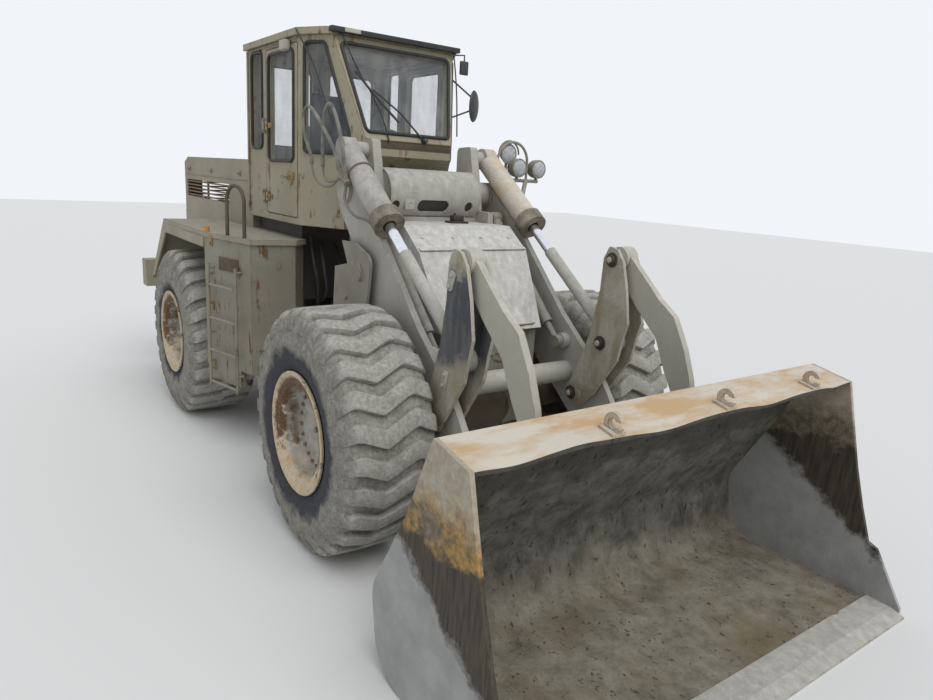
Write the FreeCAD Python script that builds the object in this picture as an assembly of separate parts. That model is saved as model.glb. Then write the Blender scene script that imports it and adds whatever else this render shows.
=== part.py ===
import FreeCAD, Part
import math
import os

# Articulated wheel loader with its bucket lowered to the ground, +X forwards and +Z up, in millimetres.
# Lengths along X are written from the steering pivot, midway between the axles, and the finished
# pieces are moved so that the origin lies on the ground under the middle of the whole machine.

V = FreeCAD.Vector

# Wheels
AXLE_X = 1650.0
AXLE_Z = 840.0
TYRE_R = 840.0
TYRE_WIDTH = 675.0
TYRE_Y = 1102.5
LUG_DEPTH = 42.0
RIM_BARREL_R = 318.0
RIM_FLANGE_R = 402.0
RIM_SHEET = 16.0
RIM_DISC = 26.0
RIM_DISC_Y = 90.0
HUB_R = 205.0
HUB_OUT = 70.0
HUB_IN = 110.0
RUN_GAP = 0.3

# Axles
AXLE_TUBE_R = 112.0
DIFF_R = 225.0
DIFF_HALF = 190.0
DRIVE_SHAFT_R = 45.0

# Steering hinge
STEER_PIN_R = 45.0
EAR_R = 125.0
TONGUE_LEVELS = (640.0, 1290.0)
TONGUE_T = 70.0
EAR_T = 40.0
EAR_GAP = 0.5

# Rear frame
REAR_RAIL_Y = 360.0
REAR_RAIL_T = 60.0
REAR_FACE_X = -400.0
REAR_END_X = -3550.0
RAIL_BOTTOM_Z = 600.0
RAIL_TOP_Z = 1400.0
TAIL_X = -3790.0
TAIL_HALF = 1250.0
TAIL_BOTTOM_Z = 1000.0
TAIL_TOP_Z = 1330.0
TAIL_LOW_Z = 860.0

TAIL_DEPTH = 210.0
TAIL_STEP = 40.0
RECESS_IN = 120.0
RECESS_HALF = 130.0
CLEVIS_Z = (985.0, 1085.0)
CLEVIS_T = 30.0
CLEVIS_R = 14.0
CLEVIS_IN = 22.0

# Engine, gearbox and the box under the cab
ENGINE_X = (-3100.0, -2000.0)
ENGINE_HALF = 345.0
ENGINE_TOP_Z = 2350.0
CASE_REAR_X = -1150.0
CASE_BOTTOM_Z = 820.0
BASE_X = (-1190.0, -120.0)

# Deck, fenders and the panels beside the steps
DECK_Z = 1950.0
DECK_T = 45.0
DECK_IN_Y = 640.0
DECK_REAR_X = -2200.0
DECK_Y = 1330.0
DECK_CORNER = (-700.0, 1320.0)
DECK_FRONT = (0.0, 1150.0)
DECK_NOSE = (60.0, 765.0)
FENDER_TAIL = (-2870.0, 1240.0)
PANEL_T = 35.0
PANEL_BOTTOM_Z = 600.0
SPLASH_BOTTOM_Z = 760.0
STEP_PANEL_L = 527.0
STEP_PANEL_T = 60.0
LADDER_AT = (130.0, 560.0)
LADDER_OUT = 60.0
LADDER_R = 14.0
LADDER_PITCH = 300.0
RAIL_LEGS = ((-390.0, 1215.0), (-130.0, 1152.0))
RAIL_H = 430.0
RAIL_R = 16.0

# Cab
CAB_REAR_X = -1200.0
CAB_Y = 738.0
CAB_CORNER_X = 40.0
CAB_FLOOR_Z = 2080.0
CAB_TOP_Z = 3600.0
CAB_WALL = 55.0
ROOF_Z = 3655.0
ROOF_LIP = 30.0
SCREEN_FOOT = (615.0, 2820.0)
SCREEN_HEAD = (330.0, 3600.0)
CHIN_X = 450.0
CHIN_Z = 2600.0
FACET_DEG = 29.5
GLASS_T = 8.0
DOOR_REAR_X = -715.0
DOOR_FRONT_X = 22.0
DOOR_BOTTOM_Z = 2135.0
DOOR_TOP_Z = 3560.0
DOOR_GAP = 6.0
DOOR_LATCH_GAP = 12.0
HINGE_OUT = 22.0
HINGE_Z = (2285.0, 2915.0)
SEAT_H = 370.0
SEAT_BACK_X = -760.0
MIRROR_HEAD = (150.0, 1000.0, 3236.0)
MIRROR_R = 95.0
MIRROR_T = 36.0
MIRROR_FOOT_AT = 30.0
MIRROR_STRUT_Z = ((3080.0, 3190.0), (3460.0, 3280.0))

# Hood and engine
HOOD_Y = 700.0
HOOD_TOP_Z = 2610.0
HOOD_REAR_X = -3740.0
HOOD_FRONT_X = -1215.0
HOOD_WALL = 30.0
SKIRT_X = (-3549.0, -2230.0)
SKIRT_BOTTOM_Z = 1420.0
GRILLE_Z = (2140.0, 2340.0)
GRILLE_X = (-3640.0, -1960.0)

# Front frame
NOSE_HALF = 495.0
NOSE_LOW_HALF = 440.0
BOX_HALF = 440.0
TOWER_IN = 425.0
TOWER_OUT = 500.0
TOWER_REAR_X = 700.0
CROSS_R = 185.0
OUTER_PLATE_Y = 735.0
OUTER_PLATE_T = 22.0
LAMP_X = 750.0
LAMP_Y = (1060.0, 1290.0)
LAMP_Z = 2670.0
LAMP_R = 82.0
LAMP_BAR_Z = 2560.0
LAMP_HOOP_Y = (830.0, 1170.0)

# Loader linkage, in the plane of one boom arm
ARM_Y = 664.0
ARM_T = 50.0
PIVOT = (850.0, 2420.0)
PIVOT_PIN_R = 65.0
DUMP_PIN = (800.0, 2720.0)
DUMP_PIN_R = 36.0
ROD_PIN = (2465.0, 1464.0)
CRANK_PIN = (2236.0, 1011.0)
LINK_PIN = (2486.0, 2077.0)
BUCKET_PIN = (2870.0, 400.0)
BUCKET_LINK_PIN = (3105.0, 970.0)
JOINT_PIN_R = 40.0
CRANK_IN = 60.0
CRANK_T = 25.0
CROSS_TUBE = (2030.0, 1140.0)
CROSS_TUBE_R = 80.0
LUG_IN = 40.0
LUG_T = 30.0

# Cylinders
DUMP_BARREL_R = 92.0
DUMP_BORE_R = 80.0
DUMP_BARREL_L = 864.0
GLAND_R = 115.0
GLAND_L = 105.0
DUMP_ROD_R = 37.5
SLEEVE_R = 45.0
CHROME_L = 280.0
LIFT_Y = 550.0
LIFT_BASE = (1120.0, 2240.0)
LIFT_EYE = (2000.0, 1377.0)
LIFT_BARREL_R = 45.0
LIFT_BARREL_L = 1061.0
LIFT_ROD_R = 24.0

# Bucket
BUCKET_HALF = 1549.0
BUCKET_SHEET = 25.0
BUCKET_Z = 3.0
BUCKET_TIP_X = 4363.0
EDGE_REAR_X = 4120.0
EDGE_T = 38.0
LIP_REAR = (3490.0, 1464.0)
LIP_FRONT = (3762.0, 1409.0)
HOOK_Y = (-664.0, 234.0, 1117.0)
HOOK_BACK = 45.0
HOOK_R = 55.0
HOOK_HOLE_R = 27.0
HOOK_T = 14.0

CENTRE_X = (BUCKET_TIP_X + TAIL_X) / 2
SIDES = (-1, 1)
SIDE_NAMES = {-1: "right", 1: "left"}


def box(x0, x1, y0, y1, z0, z1):
    """A block between two corners."""
    return Part.makeBox(x1 - x0, y1 - y0, z1 - z0, V(x0, y0, z0))


def rod(start, end, radius):
    """A round bar from one point to another."""
    start, end = V(*start), V(*end)
    return Part.makeCylinder(radius, (end - start).Length, start, end - start)


def pin_y(centre, radius, y0, y1):
    """A round bar along Y through the side-view point (x, z)."""
    return rod((centre[0], y0, centre[1]), (centre[0], y1, centre[1]), radius)


def rounded(points, radii):
    """Edges of a closed flat outline, each corner an arc of the radius that it is given."""
    if not isinstance(radii, (list, tuple)):
        radii = [radii] * len(points)
    starts, ends, arcs = [], [], []
    for i, point in enumerate(points):
        before, after, radius = points[i - 1], points[(i + 1) % len(points)], radii[i]
        u = (before - point).normalize()
        w = (after - point).normalize()
        half = u.getAngle(w) / 2
        if radius <= 0 or abs(half - math.pi / 2) < 1e-4:
            starts.append(point)
            ends.append(point)
            arcs.append(None)
            continue
        cut = radius / math.tan(half)
        middle = point + (u + w).normalize() * (radius / math.sin(half) - radius)
        starts.append(point + u * cut)
        ends.append(point + w * cut)
        arcs.append(middle)
    edges = []
    for i in range(len(points)):
        if arcs[i] is not None:
            edges.append(Part.Arc(starts[i], arcs[i], ends[i]).toShape())
        nxt = (i + 1) % len(points)
        if (ends[i] - starts[nxt]).Length > 1e-6:
            edges.append(Part.LineSegment(ends[i], starts[nxt]).toShape())
    return edges


def plate(points, radii, y0, y1):
    """A flat plate with an outline in the side view, from y0 to y1."""
    outline = [V(x, y0, z) for x, z in points]
    return Part.Face(Part.Wire(rounded(outline, radii))).extrude(V(0, y1 - y0, 0))


def floor_plate(points, radii, z0, z1):
    """A flat plate with an outline in the plan view, from z0 to z1."""
    outline = [V(x, y, z0) for x, y in points]
    return Part.Face(Part.Wire(rounded(outline, radii))).extrude(V(0, 0, z1 - z0))


def panel(origin, along, up, points, radii, low, high):
    """A plate in any plane: its outline is (along, up) from origin, its faces low and high on the normal."""
    normal = along.cross(up).normalize()
    outline = [origin + along * a + up * b + normal * low for a, b in points]
    return Part.Face(Part.Wire(rounded(outline, radii))).extrude(normal * (high - low))


def inset(points, distance):
    """A convex outline moved inwards by a distance."""
    area = sum(a[0] * b[1] - b[0] * a[1] for a, b in zip(points, points[1:] + points[:1]))
    turn = 1 if area > 0 else -1
    moved = []
    for i, (x, y) in enumerate(points):
        px, py = points[i - 1]
        nx, ny = points[(i + 1) % len(points)]
        lines = []
        for (ax, ay), (bx, by) in (((px, py), (x, y)), ((x, y), (nx, ny))):
            length = math.hypot(bx - ax, by - ay)
            dx, dy = (bx - ax) / length, (by - ay) / length
            lines.append((ax - dy * distance * turn, ay + dx * distance * turn, dx, dy))
        (ax, ay, adx, ady), (bx, by, bdx, bdy) = lines
        cross = adx * bdy - ady * bdx
        t = ((bx - ax) * bdy - (by - ay) * bdx) / cross
        moved.append((ax + adx * t, ay + ady * t))
    return moved


def fuse(*shapes):
    """One solid from pieces that touch."""
    return shapes[0].multiFuse(list(shapes[1:])).removeSplitter()


def mirror(shape):
    """The same piece on the other side of the machine."""
    return shape.mirror(V(0, 0, 0), V(0, 1, 0))


def both(shape):
    """A piece and its mirror image, as solids that don't touch."""
    return Part.makeCompound([shape, mirror(shape)])


def along_line(start, end, distance, y):
    """The point at a distance from start towards end in the side view, at y."""
    length = math.dist(start, end)
    k = distance / length
    return (start[0] + (end[0] - start[0]) * k, y, start[1] + (end[1] - start[1]) * k)


def turned(profile, x, z):
    """A solid turned about the wheel axis at (x, z), from a closed outline of (radius, y) points."""
    outline = [V(x + r, y, z) for r, y in profile]
    face = Part.Face(Part.makePolygon(outline + outline[:1]))
    return face.revolve(V(x, 0, z), V(0, 1, 0), 360)


def tyre(x, side):
    """A tyre filled out to the tips of its lugs."""
    half = TYRE_WIDTH / 2
    bead = RIM_BARREL_R + RUN_GAP
    wall = RIM_FLANGE_R + 18
    profile = [
        (bead, -half + 62), (wall - 14, -half + 50), (TYRE_R * 0.70, -half), (TYRE_R * 0.82, -half + 6),
        (TYRE_R * 0.955, -half + 32), (TYRE_R, -half + 78), (TYRE_R, half - 78), (TYRE_R * 0.955, half - 32),
        (TYRE_R * 0.82, half - 6), (TYRE_R * 0.70, half), (wall - 14, half - 50), (bead, half - 62),
    ]
    return turned([(r, side * TYRE_Y + y) for r, y in profile], x, AXLE_Z)


def rim(x, side):
    """A wheel rim with its deep disc and the hub in its middle."""
    half = TYRE_WIDTH / 2
    out = side
    y = side * TYRE_Y
    barrel = RIM_BARREL_R
    inner = barrel - RIM_SHEET
    low, high = -half + 24, half - 10
    profile = [
        (inner, low), (RIM_FLANGE_R, low), (RIM_FLANGE_R, low + 18), (barrel, low + 36),
        (barrel, high - 50), (RIM_FLANGE_R, high - 32), (RIM_FLANGE_R, high), (inner + 40, high),
        (inner, high - 50),
    ]
    ring = turned([(r, y + out * v) for r, v in profile], x, AXLE_Z)
    disc = pin_y((x, AXLE_Z), inner + 2, y + out * RIM_DISC_Y, y + out * (RIM_DISC_Y + RIM_DISC))
    hub = pin_y((x, AXLE_Z), HUB_R, y + out * (RIM_DISC_Y - HUB_IN), y + out * (RIM_DISC_Y + RIM_DISC))
    cap = Part.makeCone(HUB_R - 45, HUB_R - 75, HUB_OUT,
                        V(x, y + out * (RIM_DISC_Y + RIM_DISC), AXLE_Z), V(0, out, 0))
    return fuse(ring, disc, hub, cap)


def axle_end_y():
    """Where an axle's end flange meets the wheel's hub."""
    return TYRE_Y + RIM_DISC_Y - HUB_IN - RUN_GAP


def axle(x):
    """An axle housing with its final drives and the round middle."""
    end = axle_end_y()
    parts = [
        pin_y((x, AXLE_Z), AXLE_TUBE_R, -end, end),
        pin_y((x, AXLE_Z), DIFF_R, -DIFF_HALF, DIFF_HALF),
    ]
    for side in SIDES:
        parts.append(Part.makeCone(DIFF_R, AXLE_TUBE_R, 160, V(x, side * DIFF_HALF, AXLE_Z), V(0, side, 0)))
        parts.append(pin_y((x, AXLE_Z), HUB_R - 25, side * (end - 60), side * end))
        parts.append(box(x - 150, x + 150, side * 470 - 60, side * 470 + 60, AXLE_Z - 120, AXLE_Z + 125))
    return fuse(*parts)


def steering_ears():
    """The two forks of the rear frame with the pins in them."""
    parts = []
    for level in TONGUE_LEVELS:
        for sign in SIDES:
            near = level + sign * (TONGUE_T / 2 + EAR_GAP)
            far = near + sign * EAR_T
            low, high = min(near, far), max(near, far)
            ear = fuse(
                Part.makeCylinder(EAR_R, EAR_T, V(0, 0, low)),
                floor_plate([(0, -EAR_R), (0, EAR_R), (REAR_FACE_X, 300), (REAR_FACE_X, -300)], 0, low, high),
            )
            parts.append(ear)
        bottom = level - TONGUE_T / 2 - EAR_T - 25
        parts.append(Part.makeCylinder(STEER_PIN_R, TONGUE_T + 2 * EAR_T + 50, V(0, 0, bottom)))
    return parts


def rear_chassis():
    """The rear frame: two rails, cross plates and the forks of the steering hinge."""
    parts = []
    for side in SIDES:
        y0, y1 = sorted((side * (REAR_RAIL_Y - REAR_RAIL_T), side * REAR_RAIL_Y))
        rail = plate(
            [(REAR_FACE_X, RAIL_BOTTOM_Z - 20), (REAR_FACE_X, RAIL_TOP_Z), (REAR_END_X, RAIL_TOP_Z),
             (REAR_END_X, 1010), (-2600, 1010), (-2200, 860), (-1000, RAIL_BOTTOM_Z - 20)],
            0, y0, y1)
        parts.append(rail)
    inner = REAR_RAIL_Y - REAR_RAIL_T
    front = box(REAR_FACE_X - 40, REAR_FACE_X, -inner, inner, RAIL_BOTTOM_Z - 20, RAIL_TOP_Z)
    back = box(REAR_END_X, REAR_END_X + 40, -inner, inner, 1010, RAIL_TOP_Z)
    mid = box(-2330, -2290, -inner, inner, 1080, RAIL_TOP_Z)
    seats = [box(-AXLE_X - 200, -AXLE_X + 200, side * 470 - 60, side * 470 + 60, AXLE_Z + 125, AXLE_Z + 225)
             for side in SIDES]
    arms = [box(-AXLE_X - 160, -AXLE_X + 160, min(side * 360, side * 420), max(side * 360, side * 420),
                AXLE_Z + 140, AXLE_Z + 225) for side in SIDES]
    mounts = [box(-1150, -1060, min(side * 360, side * 640), max(side * 360, side * 640), 1330, 1400)
              for side in SIDES]
    frame = fuse(*parts, front, back, mid, *seats, *arms, *mounts, *steering_ears())
    return frame.cut(axle(-AXLE_X))


def engine_block():
    """The engine as one plain block on the rails."""
    return box(*ENGINE_X, -ENGINE_HALF, ENGINE_HALF, RAIL_TOP_Z, ENGINE_TOP_Z)


def transmission():
    """The gearbox with the shaft that runs back to the rear axle."""
    inner = REAR_RAIL_Y - REAR_RAIL_T
    case = box(CASE_REAR_X, REAR_FACE_X - 40, -inner, inner, CASE_BOTTOM_Z, RAIL_TOP_Z)
    shaft = rod((CASE_REAR_X, 0, AXLE_Z + 60), (-AXLE_X + DIFF_R - 10, 0, AXLE_Z + 40), DRIVE_SHAFT_R)
    return fuse(case, shaft).cut(axle(-AXLE_X))


def cab_base():
    """The closed box on the rails that carries the cab and the inner edges of the decks."""
    return box(BASE_X[0], BASE_X[1], -DECK_IN_Y, DECK_IN_Y, RAIL_TOP_Z, CAB_FLOOR_Z)


def counterweight():
    """The counterweight across the tail, with a recess that holds the towing clevis."""
    wide = box(TAIL_X, TAIL_X + TAIL_DEPTH, -TAIL_HALF, TAIL_HALF, TAIL_BOTTOM_Z, TAIL_TOP_Z)
    deep = box(TAIL_X + TAIL_STEP, REAR_END_X, -HOOD_Y, HOOD_Y, TAIL_LOW_Z, DECK_Z)
    recess = box(TAIL_X - 1, TAIL_X + RECESS_IN, -RECESS_HALF, RECESS_HALF, TAIL_LOW_Z - 1, TAIL_TOP_Z + 1)
    body = fuse(wide, deep).cut(recess)
    root = TAIL_X + RECESS_IN
    ears = [floor_plate([(root, -90), (root, 90), (TAIL_X, 60), (TAIL_X, -60)], [0, 0, 30, 30], z, z + CLEVIS_T)
            for z in CLEVIS_Z]
    hole = Part.makeCylinder(CLEVIS_R, CLEVIS_Z[1] - CLEVIS_Z[0] + CLEVIS_T + 2, V(TAIL_X + CLEVIS_IN, 0, CLEVIS_Z[0] - 1))
    return fuse(body, *ears).cut(hole)


def hood():
    """The engine hood: a hollow box with side and rear grille openings and skirts behind the wheels."""
    outer = plate([(HOOD_REAR_X, DECK_Z), (HOOD_REAR_X, HOOD_TOP_Z - 60), (HOOD_REAR_X + 160, HOOD_TOP_Z),
                   (HOOD_FRONT_X, HOOD_TOP_Z), (HOOD_FRONT_X, DECK_Z), (SKIRT_X[1], DECK_Z),
                   (SKIRT_X[1], SKIRT_BOTTOM_Z), (SKIRT_X[0], SKIRT_BOTTOM_Z), (SKIRT_X[0], DECK_Z)],
                  0, -HOOD_Y, HOOD_Y)
    low = SKIRT_BOTTOM_Z - 10
    inner = plate([(HOOD_REAR_X + HOOD_WALL, low), (HOOD_REAR_X + HOOD_WALL, HOOD_TOP_Z - 100),
                   (HOOD_REAR_X + 180, HOOD_TOP_Z - HOOD_WALL), (HOOD_FRONT_X - HOOD_WALL, HOOD_TOP_Z - HOOD_WALL),
                   (HOOD_FRONT_X - HOOD_WALL, low)], 0, -HOOD_Y + HOOD_WALL, HOOD_Y - HOOD_WALL)
    side_cut = box(*GRILLE_X, -HOOD_Y - 10, HOOD_Y + 10, *GRILLE_Z)
    rear_cut = box(HOOD_REAR_X - 10, HOOD_REAR_X + HOOD_WALL + 10, -520, 520, 2080, 2480)
    return outer.cut(inner).cut(side_cut).cut(rear_cut)


def hood_grilles():
    """Flat bars across the side and rear openings of the hood."""
    bars = []
    pitch = (GRILLE_Z[1] - GRILLE_Z[0]) / 5
    for side in SIDES:
        y0, y1 = sorted((side * (HOOD_Y - 24), side * (HOOD_Y - 4)))
        posts = [box(x, x + 24, y0, y1, *GRILLE_Z) for x in
                 (GRILLE_X[0], (GRILLE_X[0] + GRILLE_X[1]) / 2, GRILLE_X[1] - 24)]
        rails = [box(*GRILLE_X, y0, y1, GRILLE_Z[0] + pitch * (i + 0.5) - 8, GRILLE_Z[0] + pitch * (i + 0.5) + 8)
                 for i in range(5)]
        bars.append(fuse(*posts, *rails))
    rear_pitch = 400 / 8
    posts = [box(HOOD_REAR_X + 6, HOOD_REAR_X + 26, y, y + 24, 2080, 2480) for y in (-520, -12, 496)]
    rails = [box(HOOD_REAR_X + 6, HOOD_REAR_X + 26, -520, 520, 2080 + rear_pitch * (i + 0.5) - 8,
                 2080 + rear_pitch * (i + 0.5) + 8) for i in range(8)]
    bars.append(fuse(*posts, *rails))
    return Part.makeCompound(bars)


def exhaust_pipe():
    """The exhaust stack behind the cab."""
    pipe = rod((-2250, 330, HOOD_TOP_Z), (-2250, 330, HOOD_TOP_Z + 420), 55)
    muffler = rod((-2250, 330, HOOD_TOP_Z), (-2250, 330, HOOD_TOP_Z + 260), 95)
    return fuse(muffler, pipe)


def decks():
    """The deck plates with the fenders over the rear wheels."""
    top = floor_plate([(DECK_REAR_X, DECK_IN_Y), (DECK_REAR_X, DECK_Y), DECK_CORNER, DECK_FRONT, DECK_NOSE,
                       (DECK_NOSE[0] - 90, DECK_IN_Y)], 0, DECK_Z - DECK_T, DECK_Z)
    drop = plate([(DECK_REAR_X, DECK_Z), FENDER_TAIL, (FENDER_TAIL[0] + 25, FENDER_TAIL[1] - 18),
                  (DECK_REAR_X, DECK_Z - DECK_T)], 0, TYRE_Y - 360, DECK_Y)
    guard = box(DECK_CORNER[0] - PANEL_T, DECK_CORNER[0], DECK_IN_Y, DECK_CORNER[1] - 2, PANEL_BOTTOM_Z + 120,
                DECK_Z - DECK_T)
    cheek = plate([(DECK_REAR_X, DECK_Z - DECK_T), (FENDER_TAIL[0] + 40, FENDER_TAIL[1] + 20),
                   (FENDER_TAIL[0] + 120, FENDER_TAIL[1] + 20), (DECK_REAR_X + 60, DECK_Z - 140),
                   (DECK_CORNER[0] - PANEL_T, DECK_Z - 140), (DECK_CORNER[0] - PANEL_T, DECK_Z - DECK_T)],
                  0, DECK_Y - 20, DECK_Y)
    return both(fuse(top, drop, guard, cheek))


def facet_box(start, end, low, high, depth):
    """A flat box behind the line from start to end in plan, depth thick towards the machine's middle."""
    length = math.dist(start, end)
    dx, dy = (end[0] - start[0]) / length, (end[1] - start[1]) / length
    nx, ny = dy, -dx
    if ny > 0:
        nx, ny = -nx, -ny
    points = [start, end, (end[0] + nx * depth, end[1] + ny * depth), (start[0] + nx * depth, start[1] + ny * depth)]
    return floor_plate(points, 0, low, high)


def step_line(distance):
    """A point on the slanted outer face of the left step side in plan, and the directions along and out of it."""
    start = V(DECK_CORNER[0], DECK_CORNER[1] - 2, 0)
    end = V(DECK_FRONT[0] - 20, DECK_FRONT[1] - 12, 0)
    along = (end - start).normalize()
    return start + along * distance, along, V(-along.y, along.x, 0)


def side_boxes():
    """The closed boxes under the decks, ahead of the rear wheels: the step side and the splash side."""
    outline = [(DECK_CORNER[0], DECK_IN_Y), (DECK_CORNER[0], DECK_CORNER[1] - 2),
               (DECK_FRONT[0] - 20, DECK_FRONT[1] - 12), (DECK_NOSE[0] - 20, DECK_NOSE[1]),
               (DECK_NOSE[0] - 150, DECK_IN_Y)]
    body = floor_plate(outline, 0, SPLASH_BOTTOM_Z, DECK_Z - DECK_T)
    corner, along, out = step_line(0)
    end = corner + along * STEP_PANEL_L
    step = facet_box((corner.x, corner.y), (end.x, end.y), PANEL_BOTTOM_Z, SPLASH_BOTTOM_Z, STEP_PANEL_T)
    step = step.common(box(DECK_CORNER[0], 0, 0, DECK_Y, PANEL_BOTTOM_Z, SPLASH_BOTTOM_Z))
    return both(fuse(body, step))


def ladders():
    """A short ladder hung on each step side: two rails and four rungs."""
    parts = []
    feet = []
    for distance in LADDER_AT:
        face, along, out = step_line(distance)
        base = face + out * LADDER_OUT
        feet.append(base)
        parts.append(rod(base + V(0, 0, PANEL_BOTTOM_Z - 40), base + V(0, 0, DECK_Z - 260), LADDER_R))
        for z in (PANEL_BOTTOM_Z + 120, DECK_Z - 300):
            parts.append(rod(base + V(0, 0, z), face + V(0, 0, z), LADDER_R - 2))
    for i in range(4):
        level = V(0, 0, PANEL_BOTTOM_Z + i * LADDER_PITCH)
        parts.append(rod(feet[0] + level, feet[1] + level, LADDER_R - 1))
    return both(fuse(*parts))


def hoop(start, end, height, radius):
    """A round tube that rises from start, turns over in a half circle and comes down at end."""
    start, end = V(*start), V(*end)
    bend = (end - start).Length / 2
    crown = (start + end) * 0.5 + V(0, 0, height)
    rise = V(0, 0, height - bend)
    path = Part.Wire([
        Part.LineSegment(start, start + rise).toShape(),
        Part.Arc(start + rise, crown, end + rise).toShape(),
        Part.LineSegment(end + rise, end).toShape(),
    ])
    ring = Part.Wire(Part.makeCircle(radius, start, V(0, 0, 1)))
    return path.makePipeShell([ring], True, False)


def hand_rails():
    """A bent tube that stands on each deck by the ladder."""
    return both(hoop((*RAIL_LEGS[0], DECK_Z), (*RAIL_LEGS[1], DECK_Z), RAIL_H, RAIL_R))


def cab_plan():
    """Half widths of the cab in plan, walked round the outside."""
    run = SCREEN_FOOT[0] - CAB_CORNER_X
    front_y = CAB_Y - run * math.tan(math.radians(FACET_DEG))
    return [(CAB_REAR_X, -CAB_Y), (CAB_CORNER_X, -CAB_Y), (SCREEN_FOOT[0], -front_y),
            (SCREEN_FOOT[0], front_y), (CAB_CORNER_X, CAB_Y), (CAB_REAR_X, CAB_Y)]


def cab_side():
    """The cab in side view: chin, raked windscreen, roof line and rear wall."""
    return [(CAB_REAR_X, CAB_FLOOR_Z), (CHIN_X, CAB_FLOOR_Z), (CHIN_X, CHIN_Z),
            (SCREEN_FOOT[0], CHIN_Z + 90), SCREEN_FOOT, SCREEN_HEAD, (CAB_REAR_X, CAB_TOP_Z)]


def facet_frame(side):
    """Origin and direction of the slanted front corner wall on one side."""
    slope = math.radians(FACET_DEG)
    return V(CAB_CORNER_X, side * CAB_Y, 0), V(math.cos(slope), -side * math.sin(slope), 0)


def screen_frame():
    """Origin, across and up directions of the windscreen's outer face."""
    up = V(SCREEN_HEAD[0] - SCREEN_FOOT[0], 0, SCREEN_HEAD[1] - SCREEN_FOOT[1]).normalize()
    return V(SCREEN_FOOT[0], 0, SCREEN_FOOT[1]), V(0, 1, 0), up


def window_outlines():
    """Every fixed window: its plane, outline, and corner radius."""
    windows = []
    origin, across, up = screen_frame()
    windows.append((origin, across, up, [(-395, 55), (395, 55), (520, 775), (-520, 775)], 45))
    for side in SIDES:
        corner, along = facet_frame(side)
        windows.append((corner, along, V(0, 0, 1),
                        [(60, 2690), (520, 2690), (505, 2860), (260, 3545), (60, 3545)], 40))
        flat = V(1, 0, 0)
        windows.append((V(0, side * CAB_Y, 0), flat, V(0, 0, 1),
                        [(-1080, 2720), (-800, 2720), (-800, 3560), (-1080, 3560)], 60))
        rear_y = sorted((side * 90, side * 600))
        windows.append((V(CAB_REAR_X, 0, 0), V(0, 1, 0), V(0, 0, 1),
                        [(rear_y[0], 2750), (rear_y[1], 2750), (rear_y[1], 3500), (rear_y[0], 3500)], 60))
    return windows


def cab_solid(wall):
    """The cab's space, smaller by a wall on every side."""
    plan, side = inset(cab_plan(), wall) if wall else cab_plan(), cab_side()
    if wall:
        side = [(CAB_REAR_X + wall, CAB_FLOOR_Z + wall), (CHIN_X - wall, CAB_FLOOR_Z + wall),
                (CHIN_X - wall, CHIN_Z + wall * 0.6), (SCREEN_FOOT[0] - wall, CHIN_Z + 90 + wall * 0.6),
                (SCREEN_FOOT[0] - wall, SCREEN_FOOT[1]), (SCREEN_HEAD[0] - wall * 1.06, SCREEN_HEAD[1]),
                (SCREEN_HEAD[0] - wall * 1.06, CAB_TOP_Z + 10), (CAB_REAR_X + wall, CAB_TOP_Z + 10)]
    body = plate(side, 0, -CAB_Y - 1, CAB_Y + 1)
    return body.common(floor_plate(plan, 0, CAB_FLOOR_Z - 1, CAB_TOP_Z + 20))


def door_outline(gap_rear, gap_front, gap_z):
    """A door or its opening in side view."""
    return [(DOOR_REAR_X + gap_rear, DOOR_BOTTOM_Z + gap_z), (DOOR_FRONT_X - gap_front, DOOR_BOTTOM_Z + gap_z),
            (DOOR_FRONT_X - gap_front, DOOR_TOP_Z - gap_z), (DOOR_REAR_X + gap_rear, DOOR_TOP_Z - gap_z)]


def door_window():
    """The window in a door, in side view."""
    return [(-645, 2610), (-60, 2610), (-60, 3510), (-645, 3510)]


def hinge_point():
    """The hinge line of a door in plan: x and half width."""
    return DOOR_REAR_X - 20, CAB_Y + HINGE_OUT


def cab_shell():
    """The cab's walls and floor with the door openings and windows cut through."""
    shell = cab_solid(0).cut(cab_solid(CAB_WALL))
    for origin, along, up, points, radius in window_outlines():
        shell = shell.cut(panel(origin, along, up, points, radius, -CAB_WALL * 2, CAB_WALL * 2))
    for side in SIDES:
        y0, y1 = sorted((side * (CAB_Y - CAB_WALL - 5), side * (CAB_Y + 5)))
        shell = shell.cut(plate(door_outline(0, 0, 0), 30, y0, y1))
    hinge_x, hinge_y = hinge_point()
    parts = [shell]
    for side in SIDES:
        for z in HINGE_Z:
            pin = Part.makeCylinder(9, 130, V(hinge_x, side * hinge_y, z - 65))
            parts.append(pin)
            for end in (z - 65, z + 45):
                y0, y1 = sorted((side * (CAB_Y - 1), side * (hinge_y + 9)))
                parts.append(box(hinge_x - 12, hinge_x + 12, y0, y1, end, end + 20))
    return fuse(*parts)


def cab_roof():
    """The roof plate with its small overhang."""
    outer = inset(cab_plan(), -ROOF_LIP)
    top = floor_plate(outer, 0, CAB_TOP_Z, ROOF_Z)
    limit = plate([(CAB_REAR_X - 60, CAB_TOP_Z - 5), (SCREEN_HEAD[0] + 35, CAB_TOP_Z - 5),
                   (SCREEN_HEAD[0] - 15, ROOF_Z + 5), (CAB_REAR_X - 60, ROOF_Z + 5)], 0, -900, 900)
    return top.common(limit)


def cab_glass():
    """The fixed panes of the cab."""
    panes = []
    for origin, along, up, points, radius in window_outlines():
        normal = along.cross(up)
        out = normal.dot(origin + along * points[0][0] - V(-300, 0, 0)) > 0
        middle = -CAB_WALL / 2 if out else CAB_WALL / 2
        panes.append(panel(origin, along, up, inset(points, RUN_GAP), radius - RUN_GAP,
                           middle - GLASS_T / 2, middle + GLASS_T / 2))
    return Part.makeCompound(panes)


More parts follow.
